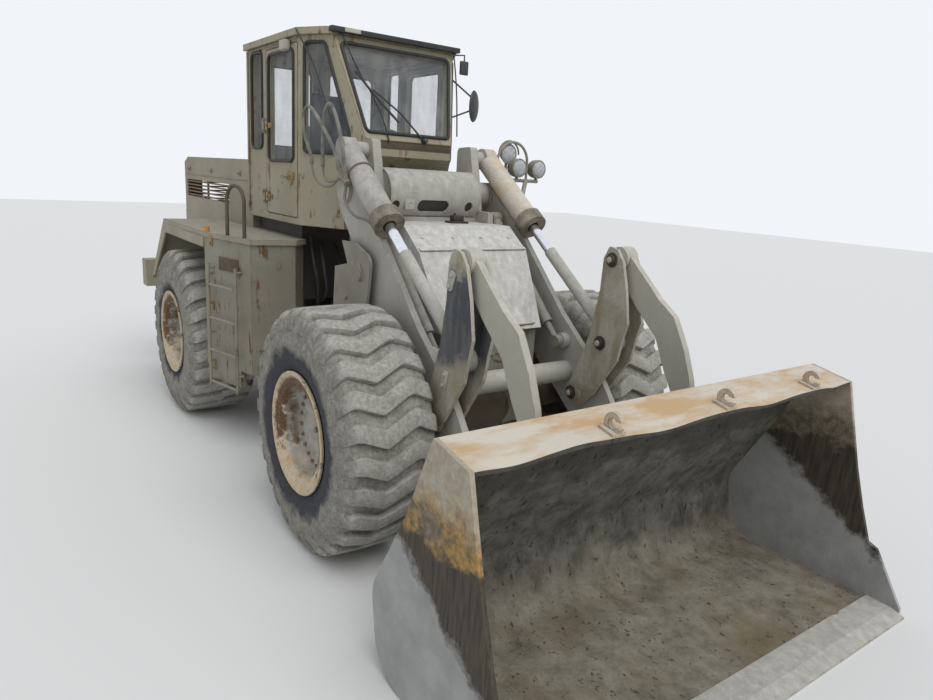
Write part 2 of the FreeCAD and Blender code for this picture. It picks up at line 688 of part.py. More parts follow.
def door(side):
    """A cab door as thick as the wall, with its window cut and the two hinge barrels."""
    y0, y1 = sorted((side * (CAB_Y - CAB_WALL), side * CAB_Y))
    leaf = plate(door_outline(DOOR_GAP, DOOR_LATCH_GAP, DOOR_GAP), 26, y0, y1)
    leaf = leaf.cut(plate(door_window(), 60, y0 - 5, y1 + 5))
    hinge_x, hinge_y = hinge_point()
    parts = [leaf]
    for z in HINGE_Z:
        barrel = Part.makeCylinder(15, 84, V(hinge_x, side * hinge_y, z - 42))
        a0, a1 = sorted((side * CAB_Y, side * (CAB_Y + 12)))
        strap = box(hinge_x, hinge_x + 90, a0, a1, z - 42, z + 42)
        parts.append(fuse(barrel, strap).cut(Part.makeCylinder(9 + RUN_GAP, 90, V(hinge_x, side * hinge_y, z - 45))))
    h0, h1 = sorted((side * CAB_Y, side * (CAB_Y + 45)))
    parts.append(fuse(box(-150, -120, h0, h1, 2462, 2488), box(-250, -120, min(side * (CAB_Y + 30), side * (CAB_Y + 45)),
                 max(side * (CAB_Y + 30), side * (CAB_Y + 45)), 2462, 2488)))
    return fuse(*parts)


def door_glass(side):
    """The pane in a door."""
    middle = side * (CAB_Y - CAB_WALL / 2)
    return plate(inset(door_window(), RUN_GAP), 60 - RUN_GAP, middle - GLASS_T / 2, middle + GLASS_T / 2)


def seat_base():
    """The pedestal under the driver's seat."""
    floor = CAB_FLOOR_Z + CAB_WALL
    return fuse(box(-720, -380, -170, 170, floor, floor + SEAT_H - 40),
                box(-840, -300, -230, 230, floor + SEAT_H - 40, floor + SEAT_H))


def seat_cushion():
    """The seat's cushion."""
    low = CAB_FLOOR_Z + CAB_WALL + SEAT_H
    return plate([(SEAT_BACK_X, low), (-260, low), (-250, low + 130), (SEAT_BACK_X, low + 110)], [0, 40, 55, 0],
                 -245, 245)


def seat_back():
    """The seat's backrest, tilted back."""
    low = CAB_FLOOR_Z + CAB_WALL + SEAT_H
    return plate([(-880, low), (SEAT_BACK_X, low), (SEAT_BACK_X, low + 115), (-800, low + 300), (-870, low + 760),
                  (-960, low + 760)], [20, 0, 0, 0, 40, 40], -240, 240)


def console():
    """The dashboard, the steering column and the steering wheel."""
    floor = CAB_FLOOR_Z + CAB_WALL
    dash = plate([(190, floor), (CHIN_X - CAB_WALL - 1, floor), (CHIN_X - CAB_WALL - 1, 2560), (390, 2680), (250, 2650)],
                 0, -300, 300)
    column = rod((264, 0, 2464), (40, 0, 2800), 30)
    axis = V(-160, 0, 240).normalize()
    wheel = Part.makeTorus(215, 14, V(40, 0, 2800), axis)
    spokes = [rod((40, -212, 2800), (40, 212, 2800), 10),
              rod((40, 0, 2800), tuple(V(40, 0, 2800) + V(240, 0, 160).normalize() * 212), 10)]
    hub = Part.makeCylinder(38, 40, V(40, 0, 2800) - axis * 25, axis)
    return fuse(dash, column, wheel, *spokes, hub)


def mirror_arm():
    """The oval mirror on its two struts, with their feet on the left front corner wall of the cab."""
    corner, along = facet_frame(1)
    out = V(-along.y, along.x, 0)
    head_x, head_y, head_z = MIRROR_HEAD
    parts = [Part.makeCylinder(MIRROR_R, MIRROR_T, V(head_x, head_y, head_z), V(1, 0, 0))]
    for foot_z, end_z in MIRROR_STRUT_Z:
        face = corner + along * MIRROR_FOOT_AT + V(0, 0, foot_z)
        parts.append(Part.makeCylinder(22, 10, face, out))
        parts.append(rod(face + out * 5, (head_x + MIRROR_T / 2, head_y, end_z), 9))
    return fuse(*parts)


def marker_lamps():
    """The turn lamps on brackets at the outer deck edges."""
    lamp = rod((-760, DECK_Y - 40, DECK_Z + 0.3), (-760, DECK_Y - 40, DECK_Z + 45), 30)
    return both(lamp)


def tongue():
    """The two plates of the front frame that the steering pins go through."""
    parts = []
    for level in TONGUE_LEVELS:
        low = level - TONGUE_T / 2
        eye = fuse(
            Part.makeCylinder(EAR_R, TONGUE_T, V(0, 0, low)),
            floor_plate([(0, -EAR_R), (430, -330), (430, 330), (0, EAR_R)], 0, low, low + TONGUE_T),
        )
        parts.append(eye.cut(Part.makeCylinder(STEER_PIN_R + RUN_GAP, TONGUE_T + 2, V(0, 0, low - 1))))
    return parts


def front_chassis():
    """The front frame's lower box with the hinge plates and the plates outside the boom arms."""
    low = plate([(420, 560), (420, 2060), (1000, 2060), (1000, 1480), (1870, 1480), (1870, 1180), (1800, 700),
                 (1500, 560)], 0, -BOX_HALF, BOX_HALF)
    outline = [(790, 1010), (790, 1560), (812, 1833), (1027, 1881), (928, 2044), (1150, 2044), (1396, 1960),
               (1346, 1614), (1290, 1300), (1290, 1010)]
    radii = [0, 0, 0, 0, 0, 0, 90, 120, 0, 0]
    outer = plate(outline, radii, OUTER_PLATE_Y, OUTER_PLATE_Y + OUTER_PLATE_T)
    foot = box(800, 1250, BOX_HALF, OUTER_PLATE_Y, 1020, 1090)
    rear_wall = box(800, 830, BOX_HALF, OUTER_PLATE_Y, 1090, 1800)
    wing = fuse(outer, foot, rear_wall)
    frame = fuse(low, wing, mirror(wing), *tongue())
    return frame.cut(axle(AXLE_X))


def nose_box():
    """The sloping panelled box between the boom arms."""
    outline = [(1000.5, 1480.5), (1000.5, 2200), (1390, 2200), (1620, 2030), (1930, 1480.5)]
    body = plate(outline, 0, -NOSE_HALF, NOSE_HALF)
    taper = [V(900, NOSE_HALF, 2300), V(900, NOSE_HALF, 2030), V(900, NOSE_LOW_HALF, 1480), V(900, -NOSE_LOW_HALF, 1480),
             V(900, -NOSE_HALF, 2030), V(900, -NOSE_HALF, 2300)]
    limit = Part.Face(Part.makePolygon(taper + taper[:1])).extrude(V(1200, 0, 0))
    return body.common(limit)


def towers():
    """The two towers with the big cross tube between them and the pins that stand out of them."""
    outline = [(TOWER_REAR_X, 2060.5), (TOWER_REAR_X, 2800), (887, 2810), (1000, 2310), (1000, 2060.5)]
    parts = []
    for side in SIDES:
        y0, y1 = sorted((side * TOWER_IN, side * TOWER_OUT))
        leg = plate(outline, [0, 40, 30, 0, 0], y0, y1)
        low = box(TOWER_REAR_X, 1000, min(side * TOWER_IN, side * TOWER_OUT), max(side * TOWER_IN, side * TOWER_OUT),
                  2060.5, 2310)
        parts += [leg, low]
        pin_out = side * (ARM_Y + CRANK_IN + 6)
        boss_out = side * (ARM_Y - CRANK_IN)
        parts.append(pin_y(PIVOT, PIVOT_PIN_R, side * TOWER_OUT, pin_out))
        parts.append(pin_y(PIVOT, PIVOT_PIN_R + 40, side * TOWER_OUT, boss_out))
        parts.append(pin_y(DUMP_PIN, DUMP_PIN_R, side * TOWER_OUT, pin_out))
        parts.append(pin_y(DUMP_PIN, DUMP_PIN_R + 24, side * TOWER_OUT, boss_out))
    tube_c = (PIVOT[0] + 20, PIVOT[1] - 20)
    tube = pin_y(tube_c, CROSS_R, -TOWER_IN, TOWER_IN)
    tube = tube.common(box(TOWER_REAR_X + 2, 1200, -600, 600, 2100, 2800))
    tube = tube.cut(box(TOWER_REAR_X - 10, tube_c[0] + CROSS_R - 30, -TOWER_IN + 20, TOWER_IN - 20,
                        tube_c[1] - CROSS_R + 30, tube_c[1] + CROSS_R - 30))
    foot = box(TOWER_REAR_X, 1000, -TOWER_IN, TOWER_IN, 2060.5, 2235)
    lift_pins = [pin_y(LIFT_BASE, 28, side * (NOSE_HALF - 60), side * (LIFT_Y + LIFT_BARREL_R)) for side in SIDES]
    cheek = [box(1000, LIFT_BASE[0] + 50, min(side * 440, side * NOSE_HALF), max(side * 440, side * NOSE_HALF),
                 2200.5, LIFT_BASE[1] + 50) for side in SIDES]
    return fuse(*parts, tube, foot, *cheek, *lift_pins)


def arm_outline():
    """One boom arm in side view, from the pivot down to the bucket pin."""
    points = [(748, 2440), (790, 2520), (900, 2515), (1410, 2100), (1930, 1575), (2383, 1205), (2945, 485),
              (2900, 300), (2790, 330), (2180, 770), (1700, 1150), (1180, 1690), (960, 2040), (720, 2300)]
    radii = [60, 60, 60, 0, 0, 200, 75, 75, 60, 300, 300, 300, 0, 100]
    return points, radii


def boom_arms():
    """The two boom arms, joined by the cross tube."""
    half = ARM_T / 2
    points, radii = arm_outline()
    arm = plate(points, radii, ARM_Y - half, ARM_Y + half)
    wide = CRANK_IN - 5
    bosses = [pin_y(PIVOT, 105, ARM_Y - wide, ARM_Y + wide), pin_y(CRANK_PIN, 85, ARM_Y - wide, ARM_Y + wide),
              pin_y(BUCKET_PIN, 80, ARM_Y - LUG_IN + 5, ARM_Y + LUG_IN - 5)]
    boss = pin_y(LIFT_EYE, 60, LIFT_Y + LIFT_ROD_R + 2 + RUN_GAP, ARM_Y)
    arm = fuse(arm, *bosses, boss)
    for centre, radius in ((PIVOT, PIVOT_PIN_R), (CRANK_PIN, JOINT_PIN_R), (BUCKET_PIN, JOINT_PIN_R)):
        arm = arm.cut(pin_y(centre, radius + RUN_GAP, ARM_Y - 200, ARM_Y + 200))
    tube = pin_y(CROSS_TUBE, CROSS_TUBE_R, -ARM_Y, ARM_Y)
    return fuse(arm, mirror(arm), tube)


def crank_outline():
    """One bellcrank plate in side view."""
    return [(2417, 2153), (2372, 2064), (2366, 1834), (2318, 1530), (2252, 1325), (2212, 1229), (2136, 1059),
            (2162, 945), (2263, 928), (2394, 1053), (2589, 1355), (2621, 1522), (2651, 1635), (2607, 1873),
            (2552, 2059), (2495, 2134)]


def bellcranks():
    """The bellcranks: on each arm two plates held together by their two pins."""
    parts = []
    for sign in SIDES:
        a, b = sorted((ARM_Y + sign * CRANK_IN, ARM_Y + sign * (CRANK_IN + CRANK_T)))
        parts.append(plate(crank_outline(), 20, a, b))
    reach = CRANK_IN + CRANK_T
    for centre in (LINK_PIN, CRANK_PIN):
        parts.append(pin_y(centre, JOINT_PIN_R, ARM_Y - reach - 4, ARM_Y + reach - 2))
    return both(fuse(*parts))


def tilt_links():
    """The bent links from the bellcranks to the bucket."""
    half = ARM_T / 2
    points = [(2450, 2150), (2520, 2130), (2850, 1840), (2985, 1750), (3100, 1550), (3185, 1330), (3165, 1000),
              (3105, 900), (3045, 1000), (3050, 1230), (2965, 1370), (2860, 1580), (2660, 1760), (2450, 1990)]
    radii = [40, 60, 120, 60, 120, 200, 50, 50, 50, 150, 120, 120, 60, 50]
    body = plate(points, radii, ARM_Y - half, ARM_Y + half)
    wide = CRANK_IN - 5
    body = fuse(body, pin_y(LINK_PIN, 78, ARM_Y - wide, ARM_Y + wide),
                pin_y(BUCKET_LINK_PIN, 70, ARM_Y - LUG_IN + 6, ARM_Y + LUG_IN - 6))
    return both(body.cut(pin_y(LINK_PIN, JOINT_PIN_R + RUN_GAP, ARM_Y - 200, ARM_Y + 200)))


def dump_point(distance):
    """A point on a dump cylinder's axis, at a distance from its base pin."""
    return along_line(DUMP_PIN, ROD_PIN, distance, ARM_Y)


def dump_barrels():
    """The dump cylinders' barrels with their base eyes and glands."""
    wide = CRANK_IN - 5
    eye = pin_y(DUMP_PIN, 88, ARM_Y - wide, ARM_Y + wide)
    outer = rod(dump_point(60), dump_point(DUMP_BARREL_L), DUMP_BARREL_R)
    gland = rod(dump_point(DUMP_BARREL_L - GLAND_L), dump_point(DUMP_BARREL_L), GLAND_R)
    bore = rod(dump_point(110), dump_point(DUMP_BARREL_L - 45), DUMP_BORE_R)
    mouth = rod(dump_point(200), dump_point(DUMP_BARREL_L + 10), SLEEVE_R + 5)
    body = fuse(eye, outer, gland).cut(bore).cut(mouth)
    return both(body.cut(pin_y(DUMP_PIN, DUMP_PIN_R + RUN_GAP, ARM_Y - 200, ARM_Y + 200)))


def dump_rods():
    """The bright rods with their pistons."""
    start = 585.0
    bar = rod(dump_point(start), dump_point(1720), DUMP_ROD_R)
    piston = rod(dump_point(start), dump_point(start + 60), DUMP_BORE_R - RUN_GAP)
    return both(fuse(bar, piston))


def dump_sleeves():
    """The guard tubes over the rods, with the eyes between the bellcrank plates."""
    length = math.dist(DUMP_PIN, ROD_PIN)
    first = DUMP_BARREL_L + CHROME_L
    tube = rod(dump_point(first), dump_point(length - 20), SLEEVE_R)
    wide = CRANK_IN - 5
    eye = pin_y(ROD_PIN, 75, ARM_Y - wide, ARM_Y + wide)
    bore = rod(dump_point(first - 5), dump_point(length - 85), DUMP_ROD_R + RUN_GAP)
    return both(fuse(tube, eye).cut(bore))


def lift_point(distance):
    """A point on a lift cylinder's axis, at a distance from its base pin."""
    return along_line(LIFT_BASE, LIFT_EYE, distance, LIFT_Y)


def lift_barrels():
    """The slim lift cylinders' barrels."""
    eye = pin_y(LIFT_BASE, 52, LIFT_Y - LIFT_BARREL_R, LIFT_Y + LIFT_BARREL_R)
    outer = rod(lift_point(40), lift_point(LIFT_BARREL_L), LIFT_BARREL_R - 2)
    collar = rod(lift_point(LIFT_BARREL_L - 60), lift_point(LIFT_BARREL_L), LIFT_BARREL_R)
    bore = rod(lift_point(90), lift_point(LIFT_BARREL_L - 30), LIFT_BARREL_R - 10)
    mouth = rod(lift_point(90), lift_point(LIFT_BARREL_L + 5), LIFT_ROD_R + RUN_GAP)
    body = fuse(eye, outer, collar).cut(bore).cut(mouth)
    return both(body.cut(pin_y(LIFT_BASE, 28 + RUN_GAP, LIFT_Y - 100, LIFT_Y + 100)))


def lift_rods():
    """The lift cylinders' rods with their pistons and eyes."""
    length = math.dist(LIFT_BASE, LIFT_EYE)
    bar = rod(lift_point(length - 560), lift_point(length - 10), LIFT_ROD_R)
    piston = rod(lift_point(length - 560), lift_point(length - 520), LIFT_BARREL_R - 10 - RUN_GAP)
    eye = pin_y(LIFT_EYE, 46, LIFT_Y - LIFT_ROD_R - 2, LIFT_Y + LIFT_ROD_R + 2)
    return both(fuse(bar, piston, eye))


def bucket_profile(depth):
    """The bucket's sheet in side view, from lip to cutting edge, moved inwards by depth."""
    chain = [LIP_REAR, (3290.0, 1010.0), (2978.0, 470.0), (3062.0, BUCKET_Z), (EDGE_REAR_X, BUCKET_Z)]
    outer_radii = [0.0, 900.0, 230.0, 260.0, 0.0]
    moved = []
    for i, (x, z) in enumerate(chain):
        sides = []
        if i > 0:
            sides.append((chain[i - 1], (x, z)))
        if i < len(chain) - 1:
            sides.append(((x, z), chain[i + 1]))
        lines = []
        for (ax, az), (bx, bz) in sides:
            length = math.hypot(bx - ax, bz - az)
            dx, dz = (bx - ax) / length, (bz - az) / length
            lines.append((ax - dz * depth, az + dx * depth, dx, dz))
        if len(lines) == 1:
            ax, az, dx, dz = lines[0]
            moved.append((x - dz * depth, z + dx * depth))
            continue
        (ax, az, adx, adz), (bx, bz, bdx, bdz) = lines
        cross = adx * bdz - adz * bdx
        t = ((bx - ax) * bdz - (bz - az) * bdx) / cross
        moved.append((ax + adx * t, az + adz * t))
    return moved, [max(r - depth, 0.0) for r in outer_radii]


def bucket_shell():
    """The bucket's bent sheet with its lip along the top."""
    outer, outer_r = bucket_profile(0)
    inner, inner_r = bucket_profile(BUCKET_SHEET)
    half = BUCKET_HALF - BUCKET_SHEET
    sheet = plate(outer + inner[::-1], outer_r + inner_r[::-1], -half, half)
    slope = math.atan2(LIP_FRONT[1] - LIP_REAR[1], LIP_FRONT[0] - LIP_REAR[0])
    nx, nz = math.sin(slope) * BUCKET_SHEET, -math.cos(slope) * BUCKET_SHEET
    lip = plate([LIP_REAR, LIP_FRONT, (LIP_FRONT[0] + nx, LIP_FRONT[1] + nz), (LIP_REAR[0] + nx, LIP_REAR[1] + nz)],
                0, -half, half)
    return fuse(sheet, lip)


def lip_hooks():
    """The three open lifting hooks welded along the lip's front edge."""
    slope = (LIP_FRONT[1] - LIP_REAR[1]) / (LIP_FRONT[0] - LIP_REAR[0])
    x = LIP_FRONT[0] - HOOK_BACK
    z = LIP_FRONT[1] - slope * HOOK_BACK
    hooks = []
    for y in HOOK_Y:
        pad = plate([(x - 60, z - slope * 60), (x + 40, z + slope * 40), (x + 40, z + slope * 40 + HOOK_T),
                     (x - 60, z - slope * 60 + HOOK_T)], 0, y - 45, y + 45)
        ring = pin_y((x, z + 46), HOOK_R, y - HOOK_T, y + HOOK_T).cut(
            pin_y((x, z + 46), HOOK_HOLE_R, y - 2 * HOOK_T, y + 2 * HOOK_T))
        throat = box(x, x + 80, y - 2 * HOOK_T, y + 2 * HOOK_T, z + 30, z + 62)
        under = plate([(x - 80, z - slope * 80), (x + 80, z + slope * 80), (x + 80, z - 80), (x - 80, z - 80)],
                      0, y - 60, y + 60)
        hooks.append(fuse(ring.cut(throat), pad).cut(under))
    return Part.makeCompound(hooks)


def bucket_sides():
    """The bucket's two side plates."""
    outer, outer_r = bucket_profile(0)
    front = [(4325, 46), (4195, 259), (4125, 372), (4062, 400), (3985, 610), (3905, 860), (3815, 1200), LIP_FRONT]
    chain = outer[:-1] + [(4325, BUCKET_Z)] + front
    radii = outer_r[:-1] + [0] * 9
    side = plate(chain, radii, BUCKET_HALF - BUCKET_SHEET, BUCKET_HALF)
    return both(side)


def cutting_edge():
    """The thick cutting edge along the floor's front."""
    half = BUCKET_HALF - BUCKET_SHEET
    return plate([(EDGE_REAR_X, BUCKET_Z), (BUCKET_TIP_X, BUCKET_Z), (BUCKET_TIP_X, BUCKET_Z + 10),
                  (BUCKET_TIP_X - 90, BUCKET_Z + EDGE_T), (EDGE_REAR_X, BUCKET_Z + EDGE_T)], 0, -half, half)


def bucket_lugs():
    """The plates behind the bucket that hold the boom arms and the links."""
    outline = [(2765, 380), (2800, 500), (3005, 1010), (3080, 1075), (3250, 1060), (3420, 1000), (3400, 150),
               (3060, 150), (2850, 290)]
    radii = [70, 80, 60, 60, 0, 0, 0, 60, 60]
    outer, outer_r = bucket_profile(0)
    block = plate(outer + [(EDGE_REAR_X, 1464)], outer_r + [0], 0, 1500)
    parts = []
    for sign in SIDES:
        a, b = sorted((ARM_Y + sign * LUG_IN, ARM_Y + sign * (LUG_IN + LUG_T)))
        lug = plate(outline, radii, a, b).cut(block)
        parts.append(lug)
    reach = LUG_IN + LUG_T + 8
    pin = pin_y(BUCKET_PIN, JOINT_PIN_R, ARM_Y - reach, ARM_Y + reach)
    caps = [pin_y(BUCKET_LINK_PIN, JOINT_PIN_R, ARM_Y + sign * (LUG_IN + LUG_T), ARM_Y + sign * reach)
            for sign in SIDES]
    return both(fuse(*parts, pin, *caps))


def work_lamps():
    """The two round lamps with a guard hoop, on a bent post from the plate outside the left boom arm."""
    plate_y = OUTER_PLATE_Y + OUTER_PLATE_T
    path = [(1060, plate_y, 2000), (1010, 880, 2200), (LAMP_X, LAMP_HOOP_Y[1], LAMP_BAR_Z)]
    parts = [
        rod((path[0][0], plate_y + 18, path[0][2]), path[1], 20),
        rod(path[1], path[2], 20),
        Part.makeSphere(20, V(*path[1])),
        Part.makeCylinder(42, 26, V(*path[0]), V(0, 1, 0)),
        rod((LAMP_X, LAMP_HOOP_Y[0] - 16, LAMP_BAR_Z), (LAMP_X, LAMP_Y[1] + 16, LAMP_BAR_Z), 16),
        hoop((LAMP_X, LAMP_HOOP_Y[0], LAMP_BAR_Z), (LAMP_X, LAMP_HOOP_Y[1], LAMP_BAR_Z), 330, 12),
    ]
    for y in LAMP_Y:
        centre = V(LAMP_X - 15, y, LAMP_Z)
        dome = Part.makeSphere(LAMP_R, centre)
        parts.append(rod((LAMP_X, y, LAMP_BAR_Z), (LAMP_X, y, LAMP_BAR_Z + 40), 14))
        parts.append(dome.common(box(LAMP_X - 150, LAMP_X, y - 100, y + 100, LAMP_BAR_Z, LAMP_Z + 120)))
        parts.append(Part.makeCylinder(LAMP_R, 45, centre, V(1, 0, 0)))
    return fuse(*parts)


def build():
    """Every piece by its name."""
    nodes = {
        "rear_chassis": rear_chassis(),
        "rear_axle": axle(-AXLE_X),
        "engine_block": engine_block(),
        "transmission": transmission(),
        "cab_base": cab_base(),
        "counterweight": counterweight(),
        "hood": hood(),
        "hood_grilles": hood_grilles(),
        "exhaust_pipe": exhaust_pipe(),
        "decks": decks(),
        "side_boxes": side_boxes(),
        "ladders": ladders(),
        "hand_rails": hand_rails(),
        "cab_shell": cab_shell(),
        "cab_roof": cab_roof(),
        "cab_glass": cab_glass(),
        "seat_base": seat_base(),
        "seat_cushion": seat_cushion(),
        "seat_back": seat_back(),
        "console": console(),
        "cab_mirror": mirror_arm(),
        "marker_lamps": marker_lamps(),
        "front_chassis": front_chassis(),
        "front_axle": axle(AXLE_X),
        "nose_box": nose_box(),
        "towers": towers(),
        "work_lamps": work_lamps(),
        "boom_arms": boom_arms(),
        "bellcranks": bellcranks(),
        "tilt_links": tilt_links(),
        "dump_barrels": dump_barrels(),
        "dump_rods": dump_rods(),
        "dump_sleeves": dump_sleeves(),
        "lift_barrels": lift_barrels(),
        "lift_rods": lift_rods(),
        "bucket_shell": bucket_shell(),
        "lip_hooks": lip_hooks(),
        "bucket_sides": bucket_sides(),
        "cutting_edge": cutting_edge(),
        "bucket_lugs": bucket_lugs(),
    }
    for side in SIDES:
        name = SIDE_NAMES[side]
        nodes["door_" + name] = door(side)
        nodes["door_glass_" + name] = door_glass(side)
        for place, x in (("front", AXLE_X), ("rear", -AXLE_X)):
            nodes["tyre_" + place + "_" + name] = tyre(x, side)
            nodes["rim_" + place + "_" + name] = rim(x, side)
    return nodes


os.makedirs("parts", exist_ok=True)
NODES = build()
for node, shape in NODES.items():
    shape.translate(V(-CENTRE_X, 0, 0))
    shape.exportStep("parts/" + node + ".step")
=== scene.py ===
"""Dresses the wheel loader: finishes, tyres, bucket, cab and linkage fittings, studio and camera."""
import logging
import math
from dataclasses import dataclass, field
from enum import Enum

import bmesh
import bpy
from mathutils import Matrix, Vector, noise


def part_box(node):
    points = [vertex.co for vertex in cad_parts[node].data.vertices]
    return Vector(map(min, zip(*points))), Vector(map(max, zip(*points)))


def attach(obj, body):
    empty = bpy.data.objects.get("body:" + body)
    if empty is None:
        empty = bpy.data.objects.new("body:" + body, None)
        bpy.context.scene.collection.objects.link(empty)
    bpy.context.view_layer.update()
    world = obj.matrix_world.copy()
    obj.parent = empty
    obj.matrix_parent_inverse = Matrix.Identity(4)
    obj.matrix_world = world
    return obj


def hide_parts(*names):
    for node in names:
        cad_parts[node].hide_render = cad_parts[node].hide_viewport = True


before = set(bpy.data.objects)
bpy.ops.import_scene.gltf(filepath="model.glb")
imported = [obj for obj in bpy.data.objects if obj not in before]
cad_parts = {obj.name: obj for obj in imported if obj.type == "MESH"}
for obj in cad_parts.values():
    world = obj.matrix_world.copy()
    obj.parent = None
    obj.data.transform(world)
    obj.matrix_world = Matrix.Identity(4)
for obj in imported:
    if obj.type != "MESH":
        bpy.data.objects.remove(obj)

Point = tuple[float, float, float]
Flat = tuple[float, float]
Colour = tuple[float, float, float]

log = logging.getLogger("wheel_loader")

SHIFT_X = -0.2865
RIGHT, LEFT = -1, 1
SIDE_NAMES = {RIGHT: "right", LEFT: "left"}


def here(x: float, y: float, z: float) -> Point:
    """A point whose x is counted from the steering hinge, as the CAD's sizes are."""
    return (x + SHIFT_X, y, z)


class Body(Enum):
    """The moving bodies that the dressed pieces ride on."""

    REAR = "rear_frame"
    FRONT = "front_frame"
    BOOM = "boom"
    CRANKS = "bellcranks"
    LINKS = "tilt_links"
    BARRELS = "dump_barrels"
    RODS = "dump_rods"
    SLEEVES = "dump_sleeves"
    LIFT_BARRELS = "lift_barrels"
    BUCKET = "bucket"


class Slot(Enum):
    """The record's material slots."""

    BODY = "body_paint"
    CAB = "cab_paint"
    ARM = "arm_paint"
    BUCKET = "bucket_steel"
    IRON = "axle_iron"
    GLASS = "window_glass"
    CHROME = "rod_chrome"
    TYRE = "tyre_rubber"
    RIM = "rim_paint"
    SEAT = "seat_fabric"
    PLASTIC = "dark_plastic"
    RAIL = "rail_steel"
    LAMP = "lamp_lens"


# Modelling by hand


def clear_selection() -> None:
    """Leaves nothing selected and nothing active."""
    if bpy.context.object and bpy.context.object.mode != "OBJECT":
        bpy.ops.object.mode_set(mode="OBJECT")
    for obj in list(bpy.context.selected_objects):
        obj.select_set(False)
    bpy.context.view_layer.objects.active = None


def pick(*objs: bpy.types.Object) -> None:
    """Selects these objects alone, with the first one active."""
    clear_selection()
    for obj in objs:
        obj.select_set(True)
    bpy.context.view_layer.objects.active = objs[0]


def settle(obj: bpy.types.Object) -> None:
    """Puts the object's place, turn and scale into its mesh."""
    pick(obj)
    bpy.ops.object.transform_apply(location=True, rotation=True, scale=True)


def added(name: str) -> bpy.types.Object:
    """Names the primitive that was just added and returns it."""
    obj = bpy.context.active_object
    obj.name = name
    obj.data.name = name
    return obj


def round_edges(obj: bpy.types.Object, width: float, segments: int = 2) -> bpy.types.Object:
    """Rounds the sharp edges of a piece.

    Args:
        obj: the piece.
        width: how far each edge is cut back, in metres.
        segments: faces across each rounded edge.

    Returns:
        The same piece.
    """
    pick(obj)
    bevel = obj.modifiers.new("rounding", "BEVEL")
    bevel.width = width
    bevel.segments = segments
    bevel.limit_method = "ANGLE"
    bpy.ops.object.modifier_apply(modifier=bevel.name)
    return obj


def block(name: str, low: Point, high: Point, rounding: float = 0.0) -> bpy.types.Object:
    """A block between two corners.

    Args:
        name: the piece's name.
        low: its lowest corner.
        high: its highest corner.
        rounding: how far its edges are cut back.

    Returns:
        The new object.
    """
    clear_selection()
    middle = [(a + b) / 2 for a, b in zip(low, high)]
    bpy.ops.mesh.primitive_cube_add(size=1.0, location=middle)
    obj = added(name)
    obj.scale = [b - a for a, b in zip(low, high)]
    settle(obj)
    return round_edges(obj, rounding) if rounding else obj


def bar(name: str, start: Point, end: Point, radius: float, tip: float | None = None,
        sides: int = 24, rounding: float = 0.0) -> bpy.types.Object:
    """A round bar or cone from one point to another.

    Args:
        name: the piece's name.
        start: the middle of its first end.
        end: the middle of its other end.
        radius: its radius at the start.
        tip: its radius at the end, where that differs.
        sides: faces round it.
        rounding: how far its edges are cut back.

    Returns:
        The new object.
    """
    clear_selection()
    along = Vector(end) - Vector(start)
    turn = along.to_track_quat("Z", "Y").to_euler()
    bpy.ops.mesh.primitive_cone_add(vertices=sides, radius1=radius, radius2=radius if tip is None else tip,
                                    depth=along.length, location=(Vector(start) + Vector(end)) / 2, rotation=turn)
    obj = added(name)
    settle(obj)
    return round_edges(obj, rounding) if rounding else obj


def slab(name: str, outline: list[Point], push: Point, rounding: float = 0.0) -> bpy.types.Object:
    """A flat plate: an outline in space, extruded along a direction.

    Args:
        name: the piece's name.
        outline: its corners in order.
        push: the direction and thickness.
        rounding: how far its edges are cut back.

    Returns:
        The new object.
    """
    clear_selection()
    bpy.ops.mesh.primitive_circle_add(vertices=len(outline), fill_type="NGON")
    obj = added(name)
    for vertex, corner in zip(obj.data.vertices, outline):
        vertex.co = corner
    bpy.ops.object.mode_set(mode="EDIT")
    bpy.ops.mesh.select_all(action="SELECT")
    bpy.ops.mesh.extrude_region_move(TRANSFORM_OT_translate={"value": push})
    bpy.ops.mesh.select_all(action="SELECT")
    bpy.ops.mesh.normals_make_consistent(inside=False)
    bpy.ops.object.mode_set(mode="OBJECT")
    return round_edges(obj, rounding) if rounding else obj


def tube(name: str, points: list[Point], radius: float, closed: bool = False, smooth: bool = False,
         sides: int = 3) -> bpy.types.Object:
    """A round tube along points.

    Args:
        name: the piece's name.
        points: the points that its middle follows.
        radius: its radius.
        closed: whether it comes back to its first point.
        smooth: whether the path is a smooth curve with these points as its control points.
        sides: the bevel's resolution.

    Returns:
        The new object, a mesh.
    """
    clear_selection()
    curve = bpy.data.curves.new(name, "CURVE")
    curve.dimensions = "3D"
    curve.bevel_depth = radius
    curve.bevel_resolution = sides
    curve.use_fill_caps = not closed
    spline = curve.splines.new("NURBS" if smooth else "POLY")
    spline.points.add(len(points) - 1)
    for control, place in zip(spline.points, points):
        control.co = (*place, 1.0)
    spline.use_cyclic_u = closed
    if smooth:
        spline.order_u = 3
        spline.use_endpoint_u = not closed
        curve.resolution_u = 8
    obj = bpy.data.objects.new(name, curve)
    bpy.context.scene.collection.objects.link(obj)
    pick(obj)
    bpy.ops.object.convert(target="MESH")
    return added(name)


def ring(name: str, centre: Point, axis: Point, radius: float, thickness: float,
         steps: int = 40) -> bpy.types.Object:
    """A round ring about an axis.

    Args:
        name: the piece's name.
        centre: its middle.
        axis: the direction that it turns about.
        radius: from the middle to the middle of the wire.
        thickness: the wire's radius.
        steps: segments round the ring.

    Returns:
        The new object.
    """
    clear_selection()
    turn = Vector(axis).to_track_quat("Z", "Y").to_euler()
    bpy.ops.mesh.primitive_torus_add(location=centre, rotation=turn, major_radius=radius, minor_radius=thickness,
                                     major_segments=steps, minor_segments=12)
    obj = added(name)
    settle(obj)
    return obj


